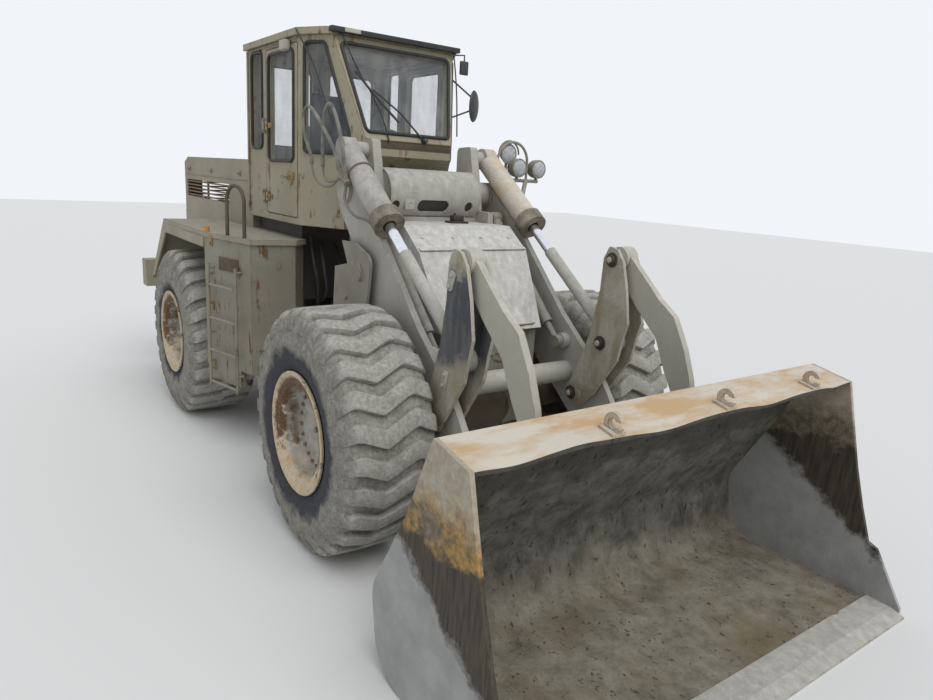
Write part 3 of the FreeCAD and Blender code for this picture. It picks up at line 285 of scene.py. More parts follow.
def merge(name: str, parts: list[bpy.types.Object]) -> bpy.types.Object:
    """Joins meshes into one piece.

    Args:
        name: the joined piece's name.
        parts: the meshes.

    Returns:
        The joined object.
    """
    pick(*parts)
    if len(parts) > 1:
        bpy.ops.object.join()
    return added(name)


def copy_of(obj: bpy.types.Object, place: Matrix, name: str) -> bpy.types.Object:
    """A copy with its own mesh, moved by a matrix, with its faces outwards.

    Args:
        obj: the piece to copy.
        place: the move that is put into the copy's mesh.
        name: the copy's name.

    Returns:
        The copy.
    """
    twin = bpy.data.objects.new(name, obj.data.copy())
    bpy.context.scene.collection.objects.link(twin)
    twin.data.transform(place)
    if place.determinant() < 0:
        twin.data.flip_normals()
    return twin


def mirrored(obj: bpy.types.Object, name: str) -> bpy.types.Object:
    """The same piece on the other side of the machine."""
    return copy_of(obj, Matrix.Scale(-1, 4, Vector((0, 1, 0))), name)


def rounded_loop(points: list[Flat], radius: float, steps: int = 8) -> list[Flat]:
    """A closed outline with round corners.

    Args:
        points: the corners.
        radius: the corners' radius.
        steps: points on each corner's arc.

    Returns:
        The points of the rounded outline.
    """
    loop: list[Flat] = []
    for i, corner in enumerate(points):
        c = Vector(corner)
        u = (Vector(points[i - 1]) - c).normalized()
        w = (Vector(points[(i + 1) % len(points)]) - c).normalized()
        half = u.angle(w) / 2
        cut = radius / math.tan(half)
        centre = c + (u + w).normalized() * (radius / math.sin(half))
        a, b = c + u * cut - centre, c + w * cut - centre
        for k in range(steps + 1):
            t = k / steps
            arm = (a * (1 - t) + b * t).normalized() * radius
            loop.append(tuple(centre + arm))
    return loop


def rounded_path(points: list[Flat], radii: list[float], spacing: float) -> list[Flat]:
    """An open path with round corners and points at about one spacing.

    Args:
        points: the corners in order.
        radii: a radius for each corner, 0 at the ends.
        spacing: the distance between the points of the result.

    Returns:
        The points along the path.
    """
    path: list[Vector] = [Vector(points[0])]
    for i in range(1, len(points) - 1):
        c = Vector(points[i])
        u, w = (Vector(points[i - 1]) - c).normalized(), (Vector(points[i + 1]) - c).normalized()
        half = u.angle(w) / 2
        if radii[i] <= 0:
            path.append(c)
            continue
        cut = radii[i] / math.tan(half)
        centre = c + (u + w).normalized() * (radii[i] / math.sin(half))
        a, b = c + u * cut - centre, c + w * cut - centre
        steps = max(3, int(a.angle(b) * radii[i] / spacing))
        for k in range(steps + 1):
            path.append(centre + (a * (1 - k / steps) + b * (k / steps)).normalized() * radii[i])
    path.append(Vector(points[-1]))
    fine: list[Flat] = []
    for a, b in zip(path, path[1:]):
        steps = max(1, round((b - a).length / spacing))
        fine += [tuple(a.lerp(b, k / steps)) for k in range(steps)]
    fine.append(tuple(path[-1]))
    return fine


def dress(obj: bpy.types.Object, material: bpy.types.Material, body: Body | str,
          angle: float = 35.0) -> bpy.types.Object:
    """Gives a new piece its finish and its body.

    Args:
        obj: the piece.
        material: its finish.
        body: the body that it rides on.
        angle: edges sharper than this stay sharp, in degrees.

    Returns:
        The same piece.
    """
    pick(obj)
    bpy.ops.object.shade_smooth_by_angle(angle=math.radians(angle))
    obj.data.materials.clear()
    obj.data.materials.append(material)
    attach(obj, body.value if isinstance(body, Body) else body)
    log.info("%s: %d faces", obj.name, len(obj.data.polygons))
    return obj


# Finishes


class Sheet:
    """A node tree with short ways to add to it."""

    def __init__(self, tree: bpy.types.NodeTree) -> None:
        """Starts with the tree that the nodes go in."""
        self.tree = tree

    def node(self, kind: str, **settings: object) -> bpy.types.Node:
        """Adds a node and sets its own properties."""
        made = self.tree.nodes.new(kind)
        for key, value in settings.items():
            setattr(made, key, value)
        return made

    def feed(self, socket: bpy.types.NodeSocket, value: object) -> None:
        """Sets an input to a number or colour, or joins an output to it."""
        if isinstance(value, bpy.types.NodeSocket):
            self.tree.links.new(value, socket)
        elif isinstance(value, (tuple, list)) and len(value) == 3 and socket.type == "RGBA":
            socket.default_value = (*value, 1.0)
        else:
            socket.default_value = value

    def math(self, kind: str, a: object, b: object = 0.0, clamp: bool = False) -> bpy.types.NodeSocket:
        """One sum of two values."""
        made = self.node("ShaderNodeMath", operation=kind, use_clamp=clamp)
        self.feed(made.inputs[0], a)
        self.feed(made.inputs[1], b)
        return made.outputs[0]

    def mix(self, factor: object, a: object, b: object, kind: str = "MIX") -> bpy.types.NodeSocket:
        """A mix of two colours."""
        made = self.node("ShaderNodeMix", data_type="RGBA", blend_type=kind)
        self.feed(made.inputs[0], factor)
        self.feed(made.inputs[6], a)
        self.feed(made.inputs[7], b)
        return made.outputs[2]

    def span(self, value: object, low: float, high: float, to_low: float = 0.0,
             to_high: float = 1.0) -> bpy.types.NodeSocket:
        """A value brought from one span into another, and held there."""
        made = self.node("ShaderNodeMapRange", clamp=True)
        for socket, number in zip(made.inputs[:5], (value, low, high, to_low, to_high)):
            self.feed(socket, number)
        return made.outputs[0]

    def noise(self, vector: object, scale: float, detail: float = 6.0, rough: float = 0.6) -> bpy.types.NodeSocket:
        """A cloudy pattern."""
        made = self.node("ShaderNodeTexNoise")
        self.feed(made.inputs["Vector"], vector)
        made.inputs["Scale"].default_value = scale
        made.inputs["Detail"].default_value = detail
        made.inputs["Roughness"].default_value = rough
        return made.outputs["Fac"]

    def stretched(self, vector: object, scale: Point, move: Point = (0, 0, 0)) -> bpy.types.NodeSocket:
        """Coordinates moved and scaled along each axis."""
        made = self.node("ShaderNodeMapping")
        self.feed(made.inputs["Vector"], vector)
        made.inputs["Scale"].default_value = scale
        made.inputs["Location"].default_value = move
        return made.outputs[0]


def group_sheet(name: str, inputs: list[tuple[str, str, object]], outputs: list[tuple[str, str]]) -> tuple:
    """An empty node group with its sockets.

    Args:
        name: the group's name.
        inputs: each input's name, kind and value.
        outputs: each output's name and kind.

    Returns:
        The tree, a sheet on it, the input node and the output node.
    """
    tree = bpy.data.node_groups.new(name, "ShaderNodeTree")
    for label, kind, value in inputs:
        socket = tree.interface.new_socket(name=label, in_out="INPUT", socket_type=kind)
        if value is not None:
            socket.default_value = (*value, 1.0) if isinstance(value, tuple) and len(value) == 3 else value
    for label, kind in outputs:
        tree.interface.new_socket(name=label, in_out="OUTPUT", socket_type=kind)
    sheet = Sheet(tree)
    return tree, sheet, sheet.node("NodeGroupInput"), sheet.node("NodeGroupOutput")


def weathering_group() -> bpy.types.NodeTree:
    """Faded paint that rusts along edges and in streaks under a coat of dust that settles on top.

    Returns:
        The node group.
    """
    number, colour = "NodeSocketFloat", "NodeSocketColor"
    tree, s, inp, out = group_sheet(
        "Weathering",
        [("Vector", "NodeSocketVector", None), ("Paint", colour, (0.3, 0.3, 0.2)), ("Faded", colour, (0.3, 0.3, 0.2)),
         ("Dust", colour, (0.4, 0.4, 0.3)), ("Rust", colour, (0.1, 0.05, 0.02)), ("Dust Amount", number, 0.5),
         ("Rust Amount", number, 0.3), ("Edge Wear", number, 0.4), ("Streaks", number, 0.4)],
        [("Color", colour), ("Roughness", number), ("Height", number)])
    place = inp.outputs["Vector"]
    cloud = s.noise(place, 1.7, 5.0, 0.6)
    patches = s.noise(place, 8.0, 9.0, 0.62)
    fine = s.noise(place, 70.0, 4.0, 0.7)
    grit = s.noise(place, 260.0, 2.0, 0.6)
    streak = s.noise(s.stretched(place, (11.0, 11.0, 0.9)), 1.6, 6.0, 0.6)
    shape = s.node("ShaderNodeNewGeometry")
    softened = s.node("ShaderNodeBevel", samples=4)
    softened.inputs["Radius"].default_value = 0.012
    match = s.node("ShaderNodeVectorMath", operation="DOT_PRODUCT")
    s.feed(match.inputs[0], softened.outputs[0])
    s.feed(match.inputs[1], shape.outputs["Normal"])
    edge = s.span(match.outputs["Value"], 0.995, 0.90)
    upward = s.node("ShaderNodeSeparateXYZ")
    s.feed(upward.inputs[0], shape.outputs["Normal"])
    top = s.span(upward.outputs["Z"], 0.1, 0.95)
    base = s.mix(s.span(cloud, 0.35, 0.65), inp.outputs["Paint"], inp.outputs["Faded"])
    run = s.math("MULTIPLY", s.span(streak, 0.42, 0.72), inp.outputs["Streaks"])
    rusty = s.math("ADD", s.math("MULTIPLY", patches, 0.9), s.math("MULTIPLY", run, 0.35))
    rusty = s.math("ADD", rusty, s.math("MULTIPLY", s.math("MULTIPLY", edge, inp.outputs["Edge Wear"]), 0.5))
    rusty = s.math("ADD", rusty, s.math("MULTIPLY", inp.outputs["Rust Amount"], 0.6))
    rust_mask = s.span(rusty, 0.80, 0.92)
    rust = s.mix(s.span(fine, 0.3, 0.7), inp.outputs["Rust"], s.mix(0.35, inp.outputs["Rust"], (0.36, 0.18, 0.08)))
    painted = s.mix(rust_mask, base, rust)
    dusty = s.math("ADD", s.math("MULTIPLY", s.noise(place, 4.5, 10.0, 0.7), 0.8), s.math("MULTIPLY", top, 0.34))
    dusty = s.math("ADD", dusty, inp.outputs["Dust Amount"])
    dusty = s.math("SUBTRACT", dusty, s.math("MULTIPLY", s.math("MULTIPLY", edge, inp.outputs["Edge Wear"]), 0.22))
    dust_mask = s.span(dusty, 0.62, 1.12)
    shade = s.span(s.noise(place, 13.0, 8.0, 0.7), 0.3, 0.7, 0.78, 1.16)
    dark_run = s.span(streak, 0.40, 0.60, 1.0, 0.86)
    dust = s.mix(1.0, inp.outputs["Dust"], s.math("MULTIPLY", shade, dark_run), "MULTIPLY")
    worn = s.mix(dust_mask, painted, dust)
    speckled = s.mix(1.0, worn, s.span(grit, 0.3, 0.7, 0.84, 1.14), "MULTIPLY")
    s.feed(out.inputs["Color"], speckled)
    s.feed(out.inputs["Roughness"], s.span(dust_mask, 0.0, 1.0, 0.58, 0.93))
    lumps = s.math("MULTIPLY", s.math("MULTIPLY", dust_mask, fine), 0.8)
    lumps = s.math("ADD", lumps, s.math("MULTIPLY", grit, 0.35))
    s.feed(out.inputs["Height"], s.math("SUBTRACT", lumps, s.math("MULTIPLY", rust_mask, 0.35)))
    return tree


def blank_material(name: str) -> tuple:
    """A material with its shader and Object coordinates.

    Args:
        name: the material's name.

    Returns:
        The material, a sheet on its tree, the shader and the coordinates.
    """
    material = bpy.data.materials.new(name)
    material.use_nodes = True
    sheet = Sheet(material.node_tree)
    shader = material.node_tree.nodes["Principled BSDF"]
    return material, sheet, shader, sheet.node("ShaderNodeTexCoord").outputs["Object"]


def add_bump(sheet: Sheet, shader: bpy.types.Node, height: object, distance: float, strength: float = 1.0) -> None:
    """Feeds the shader's normal from a height.

    Args:
        sheet: the material's sheet.
        shader: the shader.
        height: the height pattern.
        distance: its depth in metres.
        strength: how strongly it shows.
    """
    bump = sheet.node("ShaderNodeBump")
    bump.inputs["Strength"].default_value = strength
    bump.inputs["Distance"].default_value = distance
    sheet.feed(bump.inputs["Height"], height)
    sheet.feed(shader.inputs["Normal"], bump.outputs[0])


@dataclass(frozen=True)
class Coat:
    """Weathered paint or bare iron: its colours and how much wear it shows."""

    name: str
    paint: Colour
    faded: Colour
    dust: Colour = (0.42, 0.405, 0.355)
    rust: Colour = (0.11, 0.052, 0.024)
    dust_amount: float = 0.25
    rust_amount: float = 0.2
    edge_wear: float = 0.5
    streaks: float = 0.5
    depth: float = 0.0025

    def material(self) -> bpy.types.Material:
        """Builds this finish once and returns it."""
        known = bpy.data.materials.get(self.name)
        if known:
            return known
        tree = bpy.data.node_groups.get("Weathering") or weathering_group()
        material, sheet, shader, place = blank_material(self.name)
        worn = sheet.node("ShaderNodeGroup", node_tree=tree)
        values = {"Vector": place, "Paint": self.paint, "Faded": self.faded, "Dust": self.dust, "Rust": self.rust,
                  "Dust Amount": self.dust_amount, "Rust Amount": self.rust_amount, "Edge Wear": self.edge_wear,
                  "Streaks": self.streaks}
        for label, value in values.items():
            sheet.feed(worn.inputs[label], value)
        sheet.feed(shader.inputs["Base Color"], worn.outputs["Color"])
        sheet.feed(shader.inputs["Roughness"], worn.outputs["Roughness"])
        shader.inputs["Specular IOR Level"].default_value = 0.3
        add_bump(sheet, shader, worn.outputs["Height"], self.depth)
        return material


KHAKI = Coat("faded khaki paint", (0.25, 0.225, 0.155), (0.32, 0.295, 0.22), dust=(0.36, 0.34, 0.29), dust_amount=0.22,
             rust_amount=0.25)
CAB_KHAKI = Coat("cab khaki paint", (0.305, 0.270, 0.182), (0.37, 0.34, 0.255), dust=(0.36, 0.335, 0.265),
                 dust_amount=0.14, rust_amount=0.29, streaks=0.8)
SCREEN_GRIME = Coat("grime under the windscreen", (0.075, 0.064, 0.045), (0.11, 0.095, 0.066), dust=(0.19, 0.17, 0.125),
                    dust_amount=0.0, rust_amount=0.3, streaks=0.8)
STEP_KHAKI = Coat("peeling step paint", (0.21, 0.195, 0.145), (0.27, 0.26, 0.21), dust=(0.30, 0.29, 0.255),
                  rust=(0.085, 0.048, 0.026), dust_amount=0.18, rust_amount=0.27, streaks=0.9)
PALE_DUST = Coat("thick pale dust", (0.47, 0.455, 0.42), (0.50, 0.485, 0.45), dust=(0.60, 0.585, 0.55),
                 dust_amount=0.70, rust_amount=0.0, edge_wear=0.25, streaks=0.2, depth=0.0012)
TUBE_DUST = Coat("dusty cross tube", (0.37, 0.355, 0.31), (0.41, 0.395, 0.35), dust=(0.46, 0.445, 0.40),
                 dust_amount=0.55, rust_amount=0.03, edge_wear=0.3, streaks=0.4, depth=0.0015)
# Near-black with rust: partly rust, partly painted shade standing in for the recess at the steps' top.
RECESS_SHADE_AND_RUST = Coat("painted recess shade and rust", (0.07, 0.05, 0.034), (0.10, 0.072, 0.048), dust=(0.20, 0.17, 0.13),
                   dust_amount=0.0, rust_amount=0.5)
ARM_DUST = Coat("dusty arm paint", (0.36, 0.345, 0.295), (0.43, 0.415, 0.37), dust=(0.50, 0.485, 0.44),
                dust_amount=0.32, rust_amount=0.16)
PLATE_DUST = Coat("dusty frame plate", (0.20, 0.185, 0.145), (0.28, 0.265, 0.225), dust=(0.36, 0.345, 0.305),
                  dust_amount=0.26, rust_amount=0.22)
LINK_GREY = Coat("pale worn link", (0.42, 0.405, 0.34), (0.48, 0.46, 0.39), dust=(0.54, 0.52, 0.46),
                 rust=(0.22, 0.12, 0.06), dust_amount=0.30, rust_amount=0.14)
CREAM = Coat("cream cylinder paint", (0.62, 0.54, 0.42), (0.50, 0.42, 0.30), dust=(0.47, 0.45, 0.40),
             rust=(0.30, 0.17, 0.05), dust_amount=0.16, rust_amount=0.16)
GLAND_TAN = Coat("oily tan gland", (0.17, 0.15, 0.12), (0.24, 0.215, 0.17), dust=(0.34, 0.31, 0.26),
                 dust_amount=0.10, rust_amount=0.2)
LIP_STEEL = Coat("bucket lip", (0.50, 0.42, 0.31), (0.42, 0.30, 0.19), dust=(0.56, 0.51, 0.44), dust_amount=0.30,
                 rust_amount=0.18)
MUD_BROWN = Coat("caked brown mud", (0.17, 0.135, 0.088), (0.24, 0.195, 0.135), dust=(0.33, 0.285, 0.215),
                 dust_amount=0.2, rust_amount=0.1, depth=0.006)
LATCH_BROWN = Coat("yellow-brown latch", (0.36, 0.25, 0.10), (0.28, 0.19, 0.09), dust_amount=0.05, rust_amount=0.3)
DARK_IRON = Coat("oily dark iron", (0.030, 0.027, 0.023), (0.06, 0.052, 0.042), dust=(0.14, 0.13, 0.11),
                 dust_amount=-0.10, rust_amount=0.15, depth=0.004)
AXLE_IRON = Coat("brown axle iron", (0.10, 0.078, 0.052), (0.16, 0.125, 0.085), dust=(0.30, 0.27, 0.22),
                 dust_amount=0.14, rust_amount=0.25, depth=0.004)
DECK_RUST = Coat("rusty deck plate", (0.14, 0.095, 0.06), (0.19, 0.14, 0.09), dust=(0.38, 0.35, 0.29),
                 dust_amount=0.05, rust_amount=0.5)
RAIL_DARK = Coat("worn dark tube", (0.055, 0.05, 0.042), (0.12, 0.10, 0.075), dust=(0.30, 0.28, 0.24),
                 dust_amount=0.02, rust_amount=0.25)
RIM_CREAM = Coat("rusty cream rim", (0.50, 0.40, 0.24), (0.42, 0.29, 0.15), dust=(0.44, 0.41, 0.34),
                 rust=(0.20, 0.085, 0.03), dust_amount=0.02, rust_amount=0.34, streaks=0.2)


class Studio:
    """The floor, the light and the camera at the photograph's viewpoint."""

    eye: Point = (5.8627 + SHIFT_X, -3.1404, 2.5676)
    yaw: float = 143.7376
    pitch: float = -13.8327
    roll: float = 3.3833
    focal_pixels: float = 703.18
    frame_width: float = 933.0
    sensor: float = 36.0

    def build(self) -> None:
        """Makes the floor, the lights, the world and the camera."""
        clear_selection()
        bpy.ops.mesh.primitive_plane_add(size=80.0, location=(0, 0, 0))
        floor = added("floor")
        settle(floor)
        material, sheet, shader, place = blank_material("pale floor")
        shader.inputs["Base Color"].default_value = (0.74, 0.74, 0.73, 1.0)
        shader.inputs["Roughness"].default_value = 0.9
        floor.data.materials.append(material)
        self.light()
        self.camera()

    def light(self) -> None:
        """A soft sky and one wide sun."""
        world = bpy.data.worlds.new("soft sky")
        bpy.context.scene.world = world
        world.use_nodes = True
        sheet = Sheet(world.node_tree)
        back = world.node_tree.nodes["Background"]
        back.inputs["Color"].default_value = (0.93, 0.96, 1.0, 1.0)
        path = sheet.node("ShaderNodeLightPath")
        seen = sheet.math("MAXIMUM", path.outputs["Is Camera Ray"], path.outputs["Is Glossy Ray"])
        seen = sheet.math("MAXIMUM", seen, path.outputs["Is Transmission Ray"])
        sheet.feed(back.inputs["Strength"], sheet.span(seen, 0.0, 1.0, 0.62, 0.95))
        sun = bpy.data.lights.new("wide sun", "SUN")
        sun.energy = 1.5
        sun.angle = math.radians(50)
        lamp = bpy.data.objects.new("wide sun", sun)
        lamp.rotation_euler = (math.radians(32), math.radians(18), math.radians(60))
        bpy.context.scene.collection.objects.link(lamp)

    def camera(self) -> None:
        """The camera where the photograph was taken from."""
        yaw, pitch, roll = (math.radians(v) for v in (self.yaw, self.pitch, self.roll))
        look = Vector((math.cos(pitch) * math.cos(yaw), math.cos(pitch) * math.sin(yaw), math.sin(pitch)))
        right = look.cross(Vector((0, 0, 1))).normalized()
        up = right.cross(look)
        right, up = right * math.cos(roll) + up * math.sin(roll), up * math.cos(roll) - right * math.sin(roll)
        data = bpy.data.cameras.new("photograph view")
        data.sensor_width = self.sensor
        data.lens = self.focal_pixels * self.sensor / self.frame_width
        data.clip_end = 200.0
        camera = bpy.data.objects.new("photograph view", data)
        turn = Matrix((right, up, -look)).transposed().to_4x4()
        camera.matrix_world = Matrix.Translation(self.eye) @ turn
        bpy.context.scene.collection.objects.link(camera)
        bpy.context.scene.camera = camera
        bpy.context.scene.view_settings.view_transform = "Standard"


@dataclass
class GlassFinishes:
    """Glass, rubber, plastics, chrome and the other plain-bodied finishes, each made once."""

    made: dict[str, bpy.types.Material] = field(default_factory=dict)

    def plain(self, name: str, dark: Colour, light: Colour, rough: float, scale: float = 9.0,
              metallic: float = 0.0, depth: float = 0.0008) -> bpy.types.Material:
        """A finish of two close colours in a cloudy pattern.

        Args:
            name: the material's name.
            dark: its darker colour.
            light: its lighter colour.
            rough: its roughness.
            scale: the pattern's scale.
            metallic: whether it is bare metal.
            depth: the surface's unevenness in metres.

        Returns:
            The material.
        """
        if name in self.made:
            return self.made[name]
        material, sheet, shader, place = blank_material(name)
        cloud = sheet.noise(place, scale, 8.0, 0.65)
        sheet.feed(shader.inputs["Base Color"], sheet.mix(sheet.span(cloud, 0.35, 0.65), dark, light))
        sheet.feed(shader.inputs["Roughness"], sheet.span(cloud, 0.3, 0.7, rough * 0.8, min(rough * 1.2, 1.0)))
        shader.inputs["Metallic"].default_value = metallic
        add_bump(sheet, shader, sheet.noise(place, 160.0, 3.0, 0.6), depth)
        self.made[name] = material
        return material

    def glass(self) -> bpy.types.Material:
        """Dusty window glass that lets the cab show through."""
        if "dusty glass" in self.made:
            return self.made["dusty glass"]
        material, sheet, shader, place = blank_material("dusty glass")
        cloud = sheet.noise(place, 5.0, 8.0, 0.6)
        smear = sheet.noise(sheet.stretched(place, (9.0, 9.0, 1.2)), 1.5, 6.0, 0.6)
        film = sheet.span(sheet.math("MULTIPLY", cloud, smear), 0.12, 0.42)
        sheet.feed(shader.inputs["Base Color"], sheet.mix(film, (0.30, 0.36, 0.42), (0.46, 0.46, 0.44)))
        sheet.feed(shader.inputs["Alpha"], sheet.span(film, 0.0, 1.0, 0.10, 0.24))
        sheet.feed(shader.inputs["Roughness"], sheet.span(film, 0.0, 1.0, 0.03, 0.30))
        self.made["dusty glass"] = material
        return material

    def rubber(self) -> bpy.types.Material:
        """Black rubber of seals and hoses."""
        return self.plain("black rubber", (0.010, 0.010, 0.011), (0.035, 0.034, 0.032), 0.6)

    def chrome(self) -> bpy.types.Material:
        """The bright cylinder rods."""
        return self.plain("bright rod", (0.72, 0.74, 0.78), (0.86, 0.88, 0.92), 0.16, 14.0, 1.0, 0.0002)

    def plastic(self) -> bpy.types.Material:
        """Black moulded plastic."""
        return self.plain("black plastic", (0.02, 0.02, 0.021), (0.05, 0.05, 0.05), 0.45, 30.0)

    def lens(self) -> bpy.types.Material:
        """Glassy lamp faces with dust on them."""
        if "lamp glass" in self.made:
            return self.made["lamp glass"]
        material, sheet, shader, place = blank_material("lamp glass")
        cloud = sheet.noise(place, 40.0, 6.0, 0.6)
        ribs = sheet.node("ShaderNodeTexWave", bands_direction="Y")
        sheet.feed(ribs.inputs["Vector"], place)
        ribs.inputs["Scale"].default_value = 28.0
        sheet.feed(shader.inputs["Base Color"], sheet.mix(sheet.span(cloud, 0.35, 0.65), (0.34, 0.37, 0.40), (0.55, 0.56, 0.55)))
        sheet.feed(shader.inputs["Roughness"], sheet.span(cloud, 0.3, 0.7, 0.08, 0.35))
        add_bump(sheet, shader, ribs.outputs["Fac"], 0.002)
        self.made["lamp glass"] = material
        return material

    def cloth(self) -> bpy.types.Material:
        """The seat's dark cloth with its weave."""
        if "seat cloth" in self.made:
            return self.made["seat cloth"]
        material, sheet, shader, place = blank_material("seat cloth")
        warp = sheet.node("ShaderNodeTexWave", bands_direction="Y")
        weft = sheet.node("ShaderNodeTexWave", bands_direction="Z")
        for wave in (warp, weft):
            sheet.feed(wave.inputs["Vector"], place)
            wave.inputs["Scale"].default_value = 160.0
        weave = sheet.math("MULTIPLY", warp.outputs["Fac"], weft.outputs["Fac"])
        sheet.feed(shader.inputs["Base Color"], sheet.mix(weave, (0.012, 0.014, 0.022), (0.05, 0.055, 0.075)))
        shader.inputs["Roughness"].default_value = 0.95
        add_bump(sheet, shader, weave, 0.0006)
        self.made["seat cloth"] = material
        return material


PLAIN = GlassFinishes()


def tyre_material(name: str, axle_x: float, clean_radius: float) -> bpy.types.Material:
    """Rubber under pale dust, with a dark clean ring of sidewall round the rim and painted shade in the tread grooves.

    Args:
        name: the material's name.
        axle_x: where the axle is along the machine.
        clean_radius: how far the clean ring reaches from the axle.

    Returns:
        The material.
    """
    material, sheet, shader, place = blank_material(name)
    local = sheet.stretched(place, (1.0, 0.0, 1.0), (-axle_x, 0.0, -Tyres.radius))
    length = sheet.node("ShaderNodeVectorMath", operation="LENGTH")
    sheet.feed(length.inputs[0], local)
    wobble = sheet.span(sheet.noise(place, 6.0, 8.0, 0.7), 0.3, 0.7, -0.05, 0.05)
    reach = sheet.math("ADD", length.outputs["Value"], wobble)
    outer = sheet.span(reach, clean_radius - 0.03, clean_radius + 0.03)
    patch = sheet.span(sheet.noise(place, 11.0, 10.0, 0.7), 0.36, 0.60)
    bare = sheet.mix(sheet.noise(place, 30.0, 6.0, 0.7), (0.016, 0.018, 0.023), (0.085, 0.088, 0.095))
    grey = sheet.mix(patch, (0.28, 0.27, 0.235), (0.46, 0.445, 0.40))
    grey = sheet.mix(sheet.span(sheet.noise(place, 45.0, 6.0, 0.7), 0.30, 0.62), (0.18, 0.172, 0.145), grey)
    # Painted shade: below the lug tops the colour turns dark brown towards the groove bottoms, standing in for shade in
    # the tread grooves, and this dark colour also covers the sidewall beyond the clean ring; the lug tops are pale
    # dust.
    tread = sheet.span(reach, Tyres.radius - 0.075, Tyres.radius - 0.012)
    dusty = sheet.mix(tread, sheet.mix(0.72, (0.085, 0.075, 0.056), grey), sheet.mix(0.22, grey, (0.56, 0.545, 0.50)))
    sheet.feed(shader.inputs["Base Color"], sheet.mix(outer, bare, dusty))
    shader.inputs["Roughness"].default_value = 0.92
    shader.inputs["Specular IOR Level"].default_value = 0.25
    lumps = sheet.math("ADD", sheet.noise(place, 55.0, 8.0, 0.7), sheet.math("MULTIPLY", patch, 0.4))
    add_bump(sheet, shader, lumps, 0.005)
    return material


class Tread(Enum):
    """The two tread patterns."""

    WAVE = "front"
    BLOCK = "rear"


